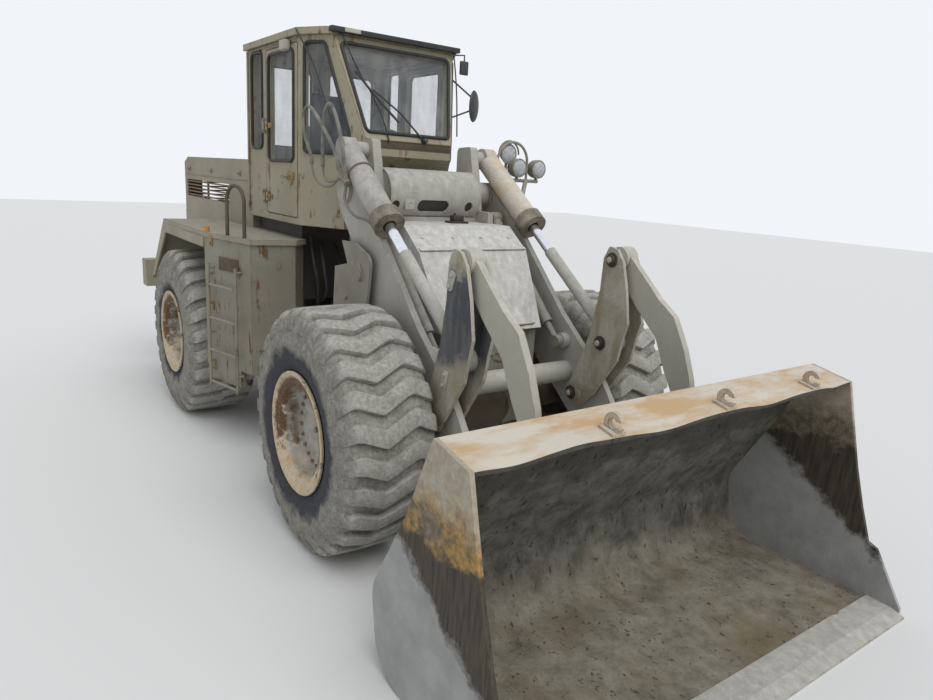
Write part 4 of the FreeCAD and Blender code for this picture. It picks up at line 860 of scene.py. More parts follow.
@dataclass
class Tyres:
    """Four tyres: a spun carcass with lugs over tread and shoulders."""

    radius: float = 0.84
    half_width: float = 0.3375
    track: float = 1.1025
    axle: float = 1.65
    lug_depth: float = 0.045
    wave_lugs: int = 26
    block_lugs: int = 26
    stations: int = 18

    def crown(self, v: float, lift: float) -> Flat:
        """A point over the tread from one sidewall to the other.

        Args:
            v: from -1 at the outer sidewall to 1 at the inner one.
            lift: how far outside the carcass the point lies.

        Returns:
            The radius and the distance from the tyre's middle plane.
        """
        turn = abs(v)
        flat_part = 0.74
        sign = 1 if v > 0 else -1
        if turn < flat_part:
            r = self.radius - 0.006 * (turn / flat_part) ** 2
            y = sign * turn / flat_part * (self.half_width - 0.075)
            return r - self.lug_depth + lift, y
        t = (turn - flat_part) / (1 - flat_part)
        angle = t * math.radians(80)
        r = self.radius - 0.006 - 0.14 * (1 - math.cos(angle)) - 0.05 * t
        y = self.half_width - 0.075 + 0.072 * math.sin(angle)
        depth = (self.lug_depth - lift) * (1 - 0.75 * t)
        return r - depth * math.cos(angle * 0.8), sign * (y - depth * math.sin(angle * 0.8) * 0.5)

    def place(self, r: float, y: float, angle: float) -> Point:
        """A point of the tyre about the origin's Y axis."""
        return (r * math.cos(angle), y, r * math.sin(angle))

    def carcass(self, name: str) -> bpy.types.Object:
        """The smooth body of the tyre, spun about the axle."""
        bead = 0.319
        rim_edge = 0.418
        profile: list[Flat] = [(bead, -0.272), (0.402, -0.288), (rim_edge, -0.300), (0.50, -0.326), (0.60, -0.3355)]
        half = [self.crown(-1 + i / 14, 0.0) for i in range(15)]
        profile += half + [(r, -y) for r, y in reversed(half[:-1])]
        profile += [(0.60, 0.3355), (0.50, 0.326), (rim_edge, 0.300), (0.402, 0.288), (bead, 0.272)]
        clear_selection()
        bpy.ops.mesh.primitive_circle_add(vertices=len(profile), fill_type="NOTHING")
        obj = added(name)
        for vertex, (r, y) in zip(obj.data.vertices, profile):
            vertex.co = (r, y, 0)
        bpy.ops.object.mode_set(mode="EDIT")
        bpy.ops.mesh.select_all(action="SELECT")
        bpy.ops.mesh.spin(steps=84, angle=math.tau, center=(0, 0, 0), axis=(0, 1, 0))
        bpy.ops.mesh.select_all(action="SELECT")
        bpy.ops.mesh.remove_doubles(threshold=0.0005)
        bpy.ops.mesh.normals_make_consistent(inside=False)
        bpy.ops.object.mode_set(mode="OBJECT")
        return obj

    def lug(self, name: str, reach: Flat, shift: list[Flat], width: list[Flat]) -> bpy.types.Object:
        """One lug over part of the tread.

        Args:
            name: the piece's name.
            reach: where it starts and ends across the tread, from -1 to 1.
            shift: its middle line, as (across, along) knots, along in metres.
            width: its thickness along the tread, as (across, width) knots.

        Returns:
            The lug, on the tyre's side that faces +X.
        """
        clear_selection()
        bpy.ops.mesh.primitive_grid_add(x_subdivisions=self.stations, y_subdivisions=2)
        obj = added(name)
        spots = sorted({round(v.co.x, 4) for v in obj.data.vertices})
        rows = sorted({round(v.co.y, 4) for v in obj.data.vertices})
        for vertex in obj.data.vertices:
            k = spots.index(round(vertex.co.x, 4)) / (len(spots) - 1)
            edge = rows.index(round(vertex.co.y, 4)) / (len(rows) - 1) * 2 - 1
            v = reach[0] + (reach[1] - reach[0]) * k
            r, y = self.crown(v, self.lug_depth)
            along = knot_value(shift, v) + edge * knot_value(width, v) / 2
            vertex.co = self.place(r, y, along / self.radius)
        bpy.ops.object.mode_set(mode="EDIT")
        bpy.ops.mesh.select_all(action="SELECT")
        bpy.ops.mesh.normals_make_consistent(inside=False)
        bpy.ops.object.mode_set(mode="OBJECT")
        middle = obj.data.polygons[len(obj.data.polygons) // 2]
        if middle.normal.x < 0:
            obj.data.flip_normals()
        wall = obj.modifiers.new("depth", "SOLIDIFY")
        wall.thickness = self.lug_depth + 0.02
        wall.offset = -1
        pick(obj)
        bpy.ops.object.modifier_apply(modifier=wall.name)
        return round_edges(obj, 0.009, 2)

    def pattern(self, tread: Tread) -> bpy.types.Object:
        """All the lugs of one tyre about the origin."""
        if tread is Tread.WAVE:
            count = self.wave_lugs
            seeds = [self.lug("wave lug", (-0.97, 0.97),
                              [(-1, -0.040), (-0.72, 0.012), (-0.22, -0.060), (0.40, 0.050), (0.80, -0.015), (1, -0.04)],
                              [(-1, 0.105), (-0.6, 0.118), (0.6, 0.118), (1, 0.105)])]
        else:
            count = self.block_lugs
            seeds = [self.lug("outer block", (-0.99, 0.06), [(-1, -0.05), (-0.6, 0.0), (0.1, 0.045)],
                              [(-1, 0.105), (0.1, 0.115)]),
                     self.lug("inner block", (-0.02, 0.99), [(-0.02, 0.09), (0.6, 0.13), (1, 0.08)],
                              [(0, 0.112), (1, 0.105)])]
        parts = list(seeds)
        for seed in seeds:
            parts += [copy_of(seed, Matrix.Rotation(math.tau * i / count, 4, "Y"), "lug") for i in range(1, count)]
        return merge("lugs", parts)

    def build(self) -> None:
        """Makes the four tyres in their places."""
        for tread, sign in ((Tread.WAVE, 1), (Tread.BLOCK, -1)):
            x = sign * self.axle + SHIFT_X
            material = tyre_material(tread.value + " tyre rubber", x, 0.575 if tread is Tread.WAVE else 0.50)
            seed = merge("tyre seed", [self.carcass("carcass"), self.pattern(tread)])
            for side, label in SIDE_NAMES.items():
                move = Matrix.Translation((x, side * self.track, self.radius))
                if side == LEFT:
                    move = move @ Matrix.Scale(-1, 4, Vector((0, 1, 0)))
                spin = Matrix.Rotation(0.13 * (side + 2) + 0.05 * sign, 4, "Y")
                tyre = copy_of(seed, move @ spin, "tyre_dressed_" + tread.value + "_" + label)
                dress(tyre, material, "wheel_" + tread.value + "_" + label, 40.0)
                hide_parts("tyre_" + tread.value + "_" + label)
            bpy.data.objects.remove(seed)


def knot_value(knots: list[Flat], at: float) -> float:
    """The value on a line through knots.

    Args:
        knots: pairs of place and value, in order.
        at: the place.

    Returns:
        The value there.
    """
    for (a, va), (b, vb) in zip(knots, knots[1:]):
        if at <= b:
            t = max(0.0, min(1.0, (at - a) / (b - a)))
            return va + (vb - va) * t
    return knots[-1][1]


@dataclass
class Wheels:
    """The dished rims, spun about their axles, with the rings of nuts on their discs."""

    nuts: int = 22
    nut_ring: float = 0.262
    nut_radius: float = 0.014
    face: float = Tyres.track + 0.161
    profile: tuple[Flat, ...] = (
        (0.010, 0.135), (0.296, 0.135), (0.302, 0.128), (0.302, -0.3135), (0.410, -0.3135), (0.410, -0.2985),
        (0.318, -0.2790), (0.318, 0.2775), (0.334, 0.2885), (0.416, 0.3060), (0.420, 0.3130), (0.420, 0.3230),
        (0.414, 0.3275), (0.402, 0.3275), (0.394, 0.3200), (0.352, 0.3060), (0.330, 0.3000), (0.322, 0.2900),
        (0.312, 0.2760), (0.304, 0.2600), (0.304, 0.2050), (0.300, 0.1850), (0.288, 0.1660), (0.280, 0.1610),
        (0.010, 0.1610),
    )

    def rim(self) -> bpy.types.Object:
        """One rim about the origin's Y axis, with its outer face towards +Y."""
        clear_selection()
        bpy.ops.mesh.primitive_circle_add(vertices=len(self.profile), fill_type="NOTHING")
        obj = added("rim seed")
        for vertex, (r, y) in zip(obj.data.vertices, self.profile):
            vertex.co = (r, y, 0)
        bpy.ops.object.mode_set(mode="EDIT")
        bpy.ops.mesh.select_all(action="SELECT")
        bpy.ops.mesh.spin(steps=72, angle=math.tau, center=(0, 0, 0), axis=(0, 1, 0))
        bpy.ops.mesh.select_all(action="SELECT")
        bpy.ops.mesh.remove_doubles(threshold=0.0004)
        bpy.ops.mesh.normals_make_consistent(inside=False)
        bpy.ops.object.mode_set(mode="OBJECT")
        return obj

    def rims(self) -> None:
        """Sets a rim into each tyre."""
        seed = self.rim()
        for end, sign in (("front", 1), ("rear", -1)):
            for side, label in SIDE_NAMES.items():
                move = Matrix.Translation((sign * Tyres.axle + SHIFT_X, side * Tyres.track, Tyres.radius))
                if side == RIGHT:
                    move = move @ Matrix.Scale(-1, 4, Vector((0, 1, 0)))
                piece = copy_of(seed, move, "rim_dressed_" + end + "_" + label)
                dress(piece, rim_material(end, sign), "wheel_" + end + "_" + label)
                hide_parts("rim_" + end + "_" + label)
        bpy.data.objects.remove(seed)

    def build(self) -> None:
        """Makes the rims and the nuts of each wheel."""
        self.rims()
        for end, sign in (("front", 1), ("rear", -1)):
            for side, label in SIDE_NAMES.items():
                x = sign * Tyres.axle + SHIFT_X
                nuts = []
                for i in range(self.nuts):
                    angle = math.tau * (i + 0.5) / self.nuts
                    cx, cz = x + self.nut_ring * math.cos(angle), Tyres.radius + self.nut_ring * math.sin(angle)
                    nuts.append(bar("nut", (cx, side * self.face, cz), (cx, side * (self.face + 0.018), cz),
                                    self.nut_radius, sides=6, rounding=0.002))
                nuts.append(bar("hub plug", (x, side * self.face, Tyres.radius),
                                (x, side * (self.face + 0.022), Tyres.radius), 0.022, sides=6, rounding=0.003))
                piece = merge("wheel_nuts_" + end + "_" + label, nuts)
                dress(piece, GLAND_TAN.material(), "wheel_" + end + "_" + label)


def bucket_inner_material() -> bpy.types.Material:
    """Steel under a dark crust, pale and sandy low down and cream along the lip."""
    material, sheet, shader, place = blank_material("crusted bucket steel")
    parts = sheet.node("ShaderNodeSeparateXYZ")
    sheet.feed(parts.inputs[0], place)
    height = sheet.math("ADD", parts.outputs["Z"], sheet.span(sheet.noise(place, 2.2, 6.0, 0.6), 0.3, 0.7, -0.14, 0.14))
    crust = sheet.noise(place, 7.0, 12.0, 0.72)
    dark = sheet.mix(sheet.span(crust, 0.38, 0.62), (0.075, 0.072, 0.060), (0.175, 0.165, 0.138))
    sandy = sheet.mix(sheet.span(crust, 0.36, 0.64), (0.175, 0.150, 0.108), (0.31, 0.28, 0.225))
    olive = sheet.span(sheet.noise(place, 1.4, 4.0, 0.5), 0.50, 0.66)
    sandy = sheet.mix(olive, sandy, (0.19, 0.15, 0.085))
    inside = sheet.mix(sheet.span(height, 0.30, 0.02), dark, sandy)
    upper = sheet.mix(sheet.span(crust, 0.35, 0.65), (0.060, 0.054, 0.044), (0.105, 0.097, 0.082))
    inside = sheet.mix(sheet.span(height, 0.98, 1.04), inside, upper)
    pits = sheet.span(sheet.noise(sheet.stretched(place, (1.0, 1.0, 0.55)), 24.0, 8.0, 0.7), 0.60, 0.68)
    inside = sheet.mix(pits, inside, (0.035, 0.030, 0.025))
    lip_tint = sheet.mix(sheet.span(sheet.noise(sheet.stretched(place, (3.5, 1.0, 3.5)), 1.9, 8.0, 0.65), 0.42, 0.60),
                         (0.60, 0.55, 0.47), (0.52, 0.36, 0.20))
    shape = sheet.node("ShaderNodeNewGeometry")
    facing = sheet.node("ShaderNodeSeparateXYZ")
    sheet.feed(facing.inputs[0], shape.outputs["Normal"])
    on_lip = sheet.math("MULTIPLY", sheet.span(parts.outputs["Z"], 1.35, 1.37), sheet.span(facing.outputs["Z"], 0.2, 0.6))
    back = sheet.math("MULTIPLY", sheet.span(facing.outputs["X"], -0.1, -0.4), sheet.span(parts.outputs["Z"], 1.42, 1.38))
    colour = sheet.mix(on_lip, inside, lip_tint)
    colour = sheet.mix(back, colour, sheet.mix(sheet.span(crust, 0.4, 0.6), (0.20, 0.17, 0.12), (0.36, 0.34, 0.29)))
    sheet.feed(shader.inputs["Base Color"], colour)
    shader.inputs["Roughness"].default_value = 0.88
    shader.inputs["Specular IOR Level"].default_value = 0.3
    rough = sheet.math("ADD", sheet.math("MULTIPLY", crust, 1.0), sheet.math("MULTIPLY", sheet.noise(place, 60.0, 6.0, 0.7), 0.5))
    rough = sheet.math("SUBTRACT", rough, sheet.math("MULTIPLY", pits, 0.5))
    smooth_top = sheet.math("SUBTRACT", 1.0, sheet.math("MULTIPLY", on_lip, 0.85))
    add_bump(sheet, shader, sheet.math("MULTIPLY", rough, smooth_top), 0.010)
    return material


def bucket_side_material() -> bpy.types.Material:
    """The side plates: orange rust on top, black in the middle, scoured grey low down."""
    material, sheet, shader, place = blank_material("banded bucket side")
    parts = sheet.node("ShaderNodeSeparateXYZ")
    sheet.feed(parts.inputs[0], place)
    wander = sheet.span(sheet.noise(place, 7.0, 9.0, 0.7), 0.3, 0.7, -0.07, 0.07)
    z = sheet.math("ADD", parts.outputs["Z"], wander)
    x = parts.outputs["X"]
    crust = sheet.noise(place, 26.0, 10.0, 0.7)
    orange = sheet.mix(sheet.span(crust, 0.40, 0.60), (0.16, 0.115, 0.065), (0.44, 0.25, 0.06))
    brown = sheet.mix(sheet.span(crust, 0.4, 0.6), (0.10, 0.08, 0.055), (0.22, 0.18, 0.125))
    near = sheet.math("LESS_THAN", parts.outputs["Y"], 0.0)
    blot = sheet.math("MULTIPLY", near, sheet.span(sheet.noise(place, 3.1, 5.0, 0.6), 0.42, 0.56))
    pale = sheet.mix(sheet.span(crust, 0.4, 0.6), (0.34, 0.28, 0.20), (0.42, 0.38, 0.31))
    top = sheet.mix(sheet.span(z, 1.10, 1.24), sheet.mix(blot, brown, orange), pale)
    scratch = sheet.noise(sheet.stretched(place, (14.0, 14.0, 1.2)), 3.0, 8.0, 0.7)
    black = sheet.mix(sheet.span(scratch, 0.35, 0.65), (0.022, 0.018, 0.014), (0.085, 0.068, 0.045))
    grey = sheet.mix(sheet.span(sheet.noise(place, 5.0, 10.0, 0.65), 0.3, 0.7), (0.27, 0.27, 0.262), (0.40, 0.40, 0.39))
    slope = sheet.math("ADD", z, sheet.math("MULTIPLY", sheet.math("SUBTRACT", x, 2.95), 0.62))
    banded = sheet.mix(sheet.span(z, 0.95, 1.0), black, top)
    banded = sheet.mix(sheet.span(slope, 0.92, 0.84), banded, grey)
    sheet.feed(shader.inputs["Base Color"], banded)
    shader.inputs["Roughness"].default_value = 0.8
    add_bump(sheet, shader, sheet.math("ADD", crust, sheet.math("MULTIPLY", scratch, 0.6)), 0.004)
    return material


@dataclass
class Bucket:
    """The bucket's bent sheet with its crust inside and its dented lip."""

    half: float = 1.524
    sheet: float = 0.025
    spacing: float = 0.045
    columns: int = 110
    dents: tuple[tuple[float, float, float], ...] = (
        (-1.30, 0.16, 0.020), (-0.92, 0.14, -0.012), (-0.30, 0.24, 0.030), (0.62, 0.20, 0.026), (1.34, 0.10, 0.016))

    def profile(self) -> list[Flat]:
        """The sheet from the lip's front edge round to the cutting edge, in side view."""
        corners = [(3.762, 1.409), (3.490, 1.464), (3.290, 1.010), (2.978, 0.470), (3.062, 0.003), (4.120, 0.003)]
        path = rounded_path(corners, [0.0, 0.0, 0.9, 0.23, 0.26, 0.0], self.spacing)
        return [(x + SHIFT_X, z) for x, z in path]

    def dent(self, y: float) -> float:
        """How far the lip's front edge is pressed down at a place across the bucket."""
        return sum(depth * math.exp(-((y - at) / width) ** 2) for at, width, depth in self.dents)

    def build(self) -> None:
        """Makes the sheet, raises its crust, dresses it and hides the CAD shell."""
        profile = self.profile()
        rows = len(profile)
        clear_selection()
        bpy.ops.mesh.primitive_grid_add(x_subdivisions=rows - 1, y_subdivisions=self.columns, size=2.0)
        obj = added("bucket_crusted_sheet")
        for i, vertex in enumerate(obj.data.vertices):
            k = round((vertex.co.x + 1) / 2 * (rows - 1))
            y = vertex.co.y * self.half
            x, z = profile[k]
            front = max(0.0, (x - (3.49 + SHIFT_X)) / 0.272) if z > 1.4 else 0.0
            down = self.dent(y) * front ** 2
            vertex.co = (x - down * 0.4, y, z - down)
        if sum(face.normal.x * face.area for face in obj.data.polygons) > 0:
            obj.data.flip_normals()
        wall = obj.modifiers.new("sheet", "SOLIDIFY")
        wall.thickness = self.sheet
        wall.offset = -1
        wall.use_even_offset = True
        pick(obj)
        bpy.ops.object.modifier_apply(modifier=wall.name)
        self.crust(obj)
        dress(obj, bucket_inner_material(), Body.BUCKET, 50.0)
        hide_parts("bucket_shell")

    def crust(self, obj: bpy.types.Object) -> None:
        """Raises uneven lumps of crust on the inside of the sheet."""
        normals = [vertex.normal.copy() for vertex in obj.data.vertices]
        half_count = len(obj.data.vertices) // 2
        for i, vertex in enumerate(obj.data.vertices):
            if i < half_count or abs(vertex.co.y) > self.half - 0.03 or vertex.co.z > 1.33:
                continue
            lump = noise.fractal(vertex.co * 3.2, 0.8, 2.1, 5) * 0.5 + 0.5
            vertex.co += normals[i] * max(0.0, lump) * 0.022


def rim_material(end: str, sign: int) -> bpy.types.Material:
    """A dished rim: cream edge, rusty barrel, dusty grey disc.

    Args:
        end: the axle's name.
        sign: 1 for the front axle, -1 for the rear one.

    Returns:
        The material.
    """
    name = end + " rim"
    if bpy.data.materials.get(name):
        return bpy.data.materials[name]
    material, sheet, shader, place = blank_material(name)
    x = sign * Tyres.axle + SHIFT_X
    local = sheet.stretched(place, (1.0, 0.0, 1.0), (-x, 0.0, -Tyres.radius))
    length = sheet.node("ShaderNodeVectorMath", operation="LENGTH")
    sheet.feed(length.inputs[0], local)
    wobble = sheet.span(sheet.noise(place, 9.0, 8.0, 0.7), 0.3, 0.7, -0.02, 0.02)
    reach = sheet.math("ADD", length.outputs["Value"], wobble)
    parts = sheet.node("ShaderNodeSeparateXYZ")
    sheet.feed(parts.inputs[0], place)
    cloud = sheet.noise(place, 12.0, 9.0, 0.68)
    fine = sheet.noise(place, 60.0, 5.0, 0.7)
    cream = sheet.mix(sheet.span(cloud, 0.40, 0.58), (0.50, 0.37, 0.21), (0.60, 0.52, 0.40))
    low = sheet.span(parts.outputs["Z"], 0.80, 0.56)
    rust = sheet.mix(sheet.span(fine, 0.3, 0.7), (0.060, 0.034, 0.018), (0.17, 0.085, 0.038))
    flaky = sheet.math("ADD", cloud, sheet.math("MULTIPLY", low, 0.30))
    barrel = sheet.mix(sheet.span(flaky, 0.58, 0.68), rust, cream)
    disc = sheet.mix(sheet.span(cloud, 0.36, 0.60), (0.30, 0.27, 0.215), (0.43, 0.42, 0.385))
    chipped = sheet.math("MULTIPLY", sheet.span(cloud, 0.55, 0.62), 0.8)
    edge = sheet.mix(chipped, cream, rust)
    colour = sheet.mix(sheet.span(reach, 0.290, 0.315), disc, barrel)
    colour = sheet.mix(sheet.span(reach, 0.372, 0.392), colour, edge)
    sheet.feed(shader.inputs["Base Color"], sheet.mix(1.0, colour, sheet.span(fine, 0.3, 0.7, 0.85, 1.1), "MULTIPLY"))
    sheet.feed(shader.inputs["Roughness"], sheet.span(cloud, 0.35, 0.65, 0.6, 0.9))
    add_bump(sheet, shader, sheet.math("ADD", fine, sheet.math("MULTIPLY", cloud, 1.5)), 0.003)
    return material


def crank_material() -> bpy.types.Material:
    """Grey plates streaked with khaki, the right pair blue-black under its worn upper half.

    Returns:
        The material.
    """
    material, sheet, shader, place = blank_material("streaked bellcrank")
    parts = sheet.node("ShaderNodeSeparateXYZ")
    sheet.feed(parts.inputs[0], place)
    cloud = sheet.noise(place, 6.0, 10.0, 0.68)
    streak = sheet.noise(sheet.stretched(place, (6.0, 6.0, 1.4)), 1.3, 6.0, 0.6)
    fine = sheet.noise(place, 80.0, 4.0, 0.7)
    pale = sheet.mix(sheet.span(cloud, 0.36, 0.62), (0.33, 0.305, 0.225), (0.46, 0.44, 0.37))
    pale = sheet.mix(sheet.span(streak, 0.46, 0.66, 0.0, 0.75), pale, (0.27, 0.225, 0.125))
    dark = sheet.mix(sheet.span(streak, 0.38, 0.62), (0.060, 0.066, 0.074), (0.15, 0.152, 0.15))
    near = sheet.math("LESS_THAN", parts.outputs["Y"], 0.0)
    height = sheet.math("ADD", parts.outputs["Z"], sheet.span(cloud, 0.3, 0.7, -0.10, 0.10))
    band = sheet.math("MULTIPLY", sheet.span(height, 1.38, 1.52), sheet.span(height, 2.06, 1.98))
    colour = sheet.mix(sheet.math("MULTIPLY", near, band), pale, dark)
    low = sheet.math("MULTIPLY", sheet.span(height, 1.20, 1.02), 0.7)
    colour = sheet.mix(low, colour, (0.20, 0.155, 0.09))
    shape = sheet.node("ShaderNodeNewGeometry")
    facing = sheet.node("ShaderNodeSeparateXYZ")
    sheet.feed(facing.inputs[0], shape.outputs["Normal"])
    rim = sheet.span(sheet.math("ABSOLUTE", facing.outputs["Y"]), 0.75, 0.4)
    colour = sheet.mix(rim, colour, sheet.mix(sheet.span(cloud, 0.4, 0.6), (0.40, 0.36, 0.28), (0.52, 0.50, 0.44)))
    sheet.feed(shader.inputs["Base Color"], sheet.mix(1.0, colour, sheet.span(fine, 0.3, 0.7, 0.84, 1.12), "MULTIPLY"))
    sheet.feed(shader.inputs["Roughness"], sheet.span(cloud, 0.3, 0.7, 0.65, 0.92))
    add_bump(sheet, shader, sheet.math("ADD", fine, sheet.math("MULTIPLY", streak, 0.8)), 0.003)
    return material


def barrel_material() -> bpy.types.Material:
    """The dump cylinders: dusty grey on the right one, cream with yellow patches on the left one.

    Returns:
        The material.
    """
    material, sheet, shader, place = blank_material("dump cylinder paint")
    parts = sheet.node("ShaderNodeSeparateXYZ")
    sheet.feed(parts.inputs[0], place)
    cloud = sheet.noise(place, 7.0, 10.0, 0.68)
    fine = sheet.noise(place, 70.0, 5.0, 0.7)
    patch = sheet.noise(sheet.stretched(place, (1.0, 1.0, 1.0), (3.0, 1.0, 0.4)), 3.6, 6.0, 0.6)
    grey = sheet.mix(sheet.span(cloud, 0.36, 0.62), (0.30, 0.285, 0.25), (0.47, 0.455, 0.42))
    grey = sheet.mix(sheet.span(patch, 0.60, 0.72, 0.0, 0.7), grey, (0.17, 0.155, 0.125))
    cream = sheet.mix(sheet.span(cloud, 0.38, 0.62), (0.50, 0.435, 0.35), (0.62, 0.57, 0.49))
    along = sheet.math("ADD", sheet.math("MULTIPLY", parts.outputs["X"], 0.7984),
                       sheet.math("MULTIPLY", parts.outputs["Z"], -0.6022))
    upper = sheet.span(sheet.math("ABSOLUTE", sheet.math("ADD", along, 0.93)), 0.20, 0.08)
    yellow = sheet.math("MULTIPLY", sheet.span(patch, 0.46, 0.58, 0.0, 0.85), upper)
    cream = sheet.mix(yellow, cream, (0.64, 0.46, 0.19))
    near = sheet.math("LESS_THAN", parts.outputs["Y"], 0.0)
    colour = sheet.mix(near, cream, grey)
    gland = sheet.span(along, -0.495, -0.480)
    tan = sheet.mix(sheet.span(cloud, 0.4, 0.6), (0.12, 0.105, 0.08), (0.30, 0.26, 0.20))
    colour = sheet.mix(gland, colour, tan)
    sheet.feed(shader.inputs["Base Color"], sheet.mix(1.0, colour, sheet.span(fine, 0.3, 0.7, 0.84, 1.12), "MULTIPLY"))
    sheet.feed(shader.inputs["Roughness"], sheet.span(cloud, 0.3, 0.7, 0.55, 0.9))
    add_bump(sheet, shader, sheet.math("ADD", fine, cloud), 0.0025)
    return material


FINISH_BY_NODE: dict[str, Coat] = {
    "rear_chassis": DARK_IRON, "rear_axle": AXLE_IRON, "front_axle": AXLE_IRON, "transmission": DARK_IRON,
    "engine_block": DARK_IRON, "cab_base": DARK_IRON, "counterweight": KHAKI, "hood": KHAKI, "hood_grilles": DECK_RUST,
    "exhaust_pipe": DECK_RUST, "decks": KHAKI, "side_boxes": STEP_KHAKI, "ladders": STEP_KHAKI, "hand_rails": RAIL_DARK,
    "cab_shell": CAB_KHAKI, "cab_roof": CAB_KHAKI, "door_left": CAB_KHAKI, "door_right": CAB_KHAKI,
    "front_chassis": PLATE_DUST, "nose_box": PALE_DUST, "towers": ARM_DUST, "work_lamps": PLATE_DUST,
    "boom_arms": ARM_DUST, "tilt_links": LINK_GREY, "lift_barrels": PLATE_DUST,
    "lift_rods": PLATE_DUST, "dump_sleeves": ARM_DUST, "lip_hooks": LIP_STEEL, "cutting_edge": ARM_DUST,
    "bucket_lugs": ARM_DUST,
}


def finish_nodes() -> None:
    """Gives every CAD piece that shows its finish."""
    special = {
        "cab_glass": PLAIN.glass(), "door_glass_left": PLAIN.glass(), "door_glass_right": PLAIN.glass(),
        "dump_rods": PLAIN.chrome(), "seat_base": PLAIN.plastic(), "console": PLAIN.plastic(),
        "cab_mirror": PLAIN.plastic(), "seat_cushion": PLAIN.cloth(), "seat_back": PLAIN.cloth(),
        "marker_lamps": PLAIN.plain("amber lens", (0.45, 0.18, 0.03), (0.60, 0.27, 0.06), 0.25, 20.0),
        "bucket_sides": bucket_side_material(), "bellcranks": crank_material(), "dump_barrels": barrel_material(),
    }
    for end, sign in (("front", 1), ("rear", -1)):
        special |= {"rim_" + end + "_" + label: rim_material(end, sign) for label in SIDE_NAMES.values()}
    for name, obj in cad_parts.items():
        material = special.get(name) or (FINISH_BY_NODE[name].material() if name in FINISH_BY_NODE else None)
        if material is None:
            continue
        if not obj.material_slots:
            obj.data.materials.append(material)
        for slot in obj.material_slots:
            slot.material = material


class WindowPlace(Enum):
    """Where a window sits."""

    SCREEN = "screen"
    FACET = "facet"
    SIDE = "side"
    REAR = "rear"
    DOOR = "door"


@dataclass
class Cab:
    """The cab's window planes and the rubber seals round its windows."""

    half: float = 0.738
    corner_x: float = 0.040 + SHIFT_X
    rear_x: float = -1.200 + SHIFT_X
    foot: Flat = (0.615 + SHIFT_X, 2.820)
    head: Flat = (0.330 + SHIFT_X, 3.600)
    facet: float = 29.5
    seal: float = 0.0145

    def to_space(self, place: WindowPlace, side: int, flat: Flat, out: float = 0.0) -> Point:
        """A point of a window's plane in space.

        Args:
            place: the window's wall.
            side: the machine's side.
            flat: the point in the wall's own outline.
            out: the distance outside the wall's face.

        Returns:
            The point.
        """
        a, b = flat
        if place is WindowPlace.SCREEN:
            up = Vector((self.head[0] - self.foot[0], self.head[1] - self.foot[1])).normalized()
            return (self.foot[0] + up.x * b + up.y * out, a, self.foot[1] + up.y * b - up.x * out)
        if place is WindowPlace.FACET:
            turn = math.radians(self.facet)
            x = self.corner_x + a * math.cos(turn) + out * math.sin(turn)
            return (x, side * (self.half - a * math.sin(turn) + out * math.cos(turn)), b)
        if place is WindowPlace.REAR:
            return (self.rear_x - out, side * a, b)
        return (a + SHIFT_X, side * (self.half + out), b)

    def seals(self) -> None:
        """A rubber ring round every window."""
        outlines = [
            (WindowPlace.SCREEN, LEFT, [(-0.395, 0.055), (0.395, 0.055), (0.520, 0.775), (-0.520, 0.775)], 0.045),
        ]
        for side in SIDE_NAMES:
            outlines += [
                (WindowPlace.FACET, side, [(0.060, 2.690), (0.520, 2.690), (0.505, 2.860), (0.260, 3.545),
                                           (0.060, 3.545)], 0.040),
                (WindowPlace.SIDE, side, [(-1.080, 2.720), (-0.800, 2.720), (-0.800, 3.560), (-1.080, 3.560)], 0.060),
                (WindowPlace.REAR, side, [(0.090, 2.750), (0.600, 2.750), (0.600, 3.500), (0.090, 3.500)], 0.060),
            ]
        rings = [self.seal_ring(*outline) for outline in outlines]
        dress(merge("window_seals", rings), PLAIN.rubber(), Body.REAR)
        for side, label in SIDE_NAMES.items():
            door = self.seal_ring(WindowPlace.DOOR, side, [(-0.645, 2.610), (-0.060, 2.610), (-0.060, 3.510),
                                                           (-0.645, 3.510)], 0.060)
            door.name = "door_seal_" + label
            dress(door, PLAIN.rubber(), "door_" + label)

    def seal_ring(self, place: WindowPlace, side: int, outline: list[Flat], radius: float) -> bpy.types.Object:
        """One window's rubber ring, proud of the wall."""
        loop = [self.to_space(place, side, flat, 0.004) for flat in rounded_loop(outline, radius)]
        return tube("seal", loop, self.seal, closed=True)

    def build(self) -> None:
        """Makes the rubber seals round the windows."""
        self.seals()


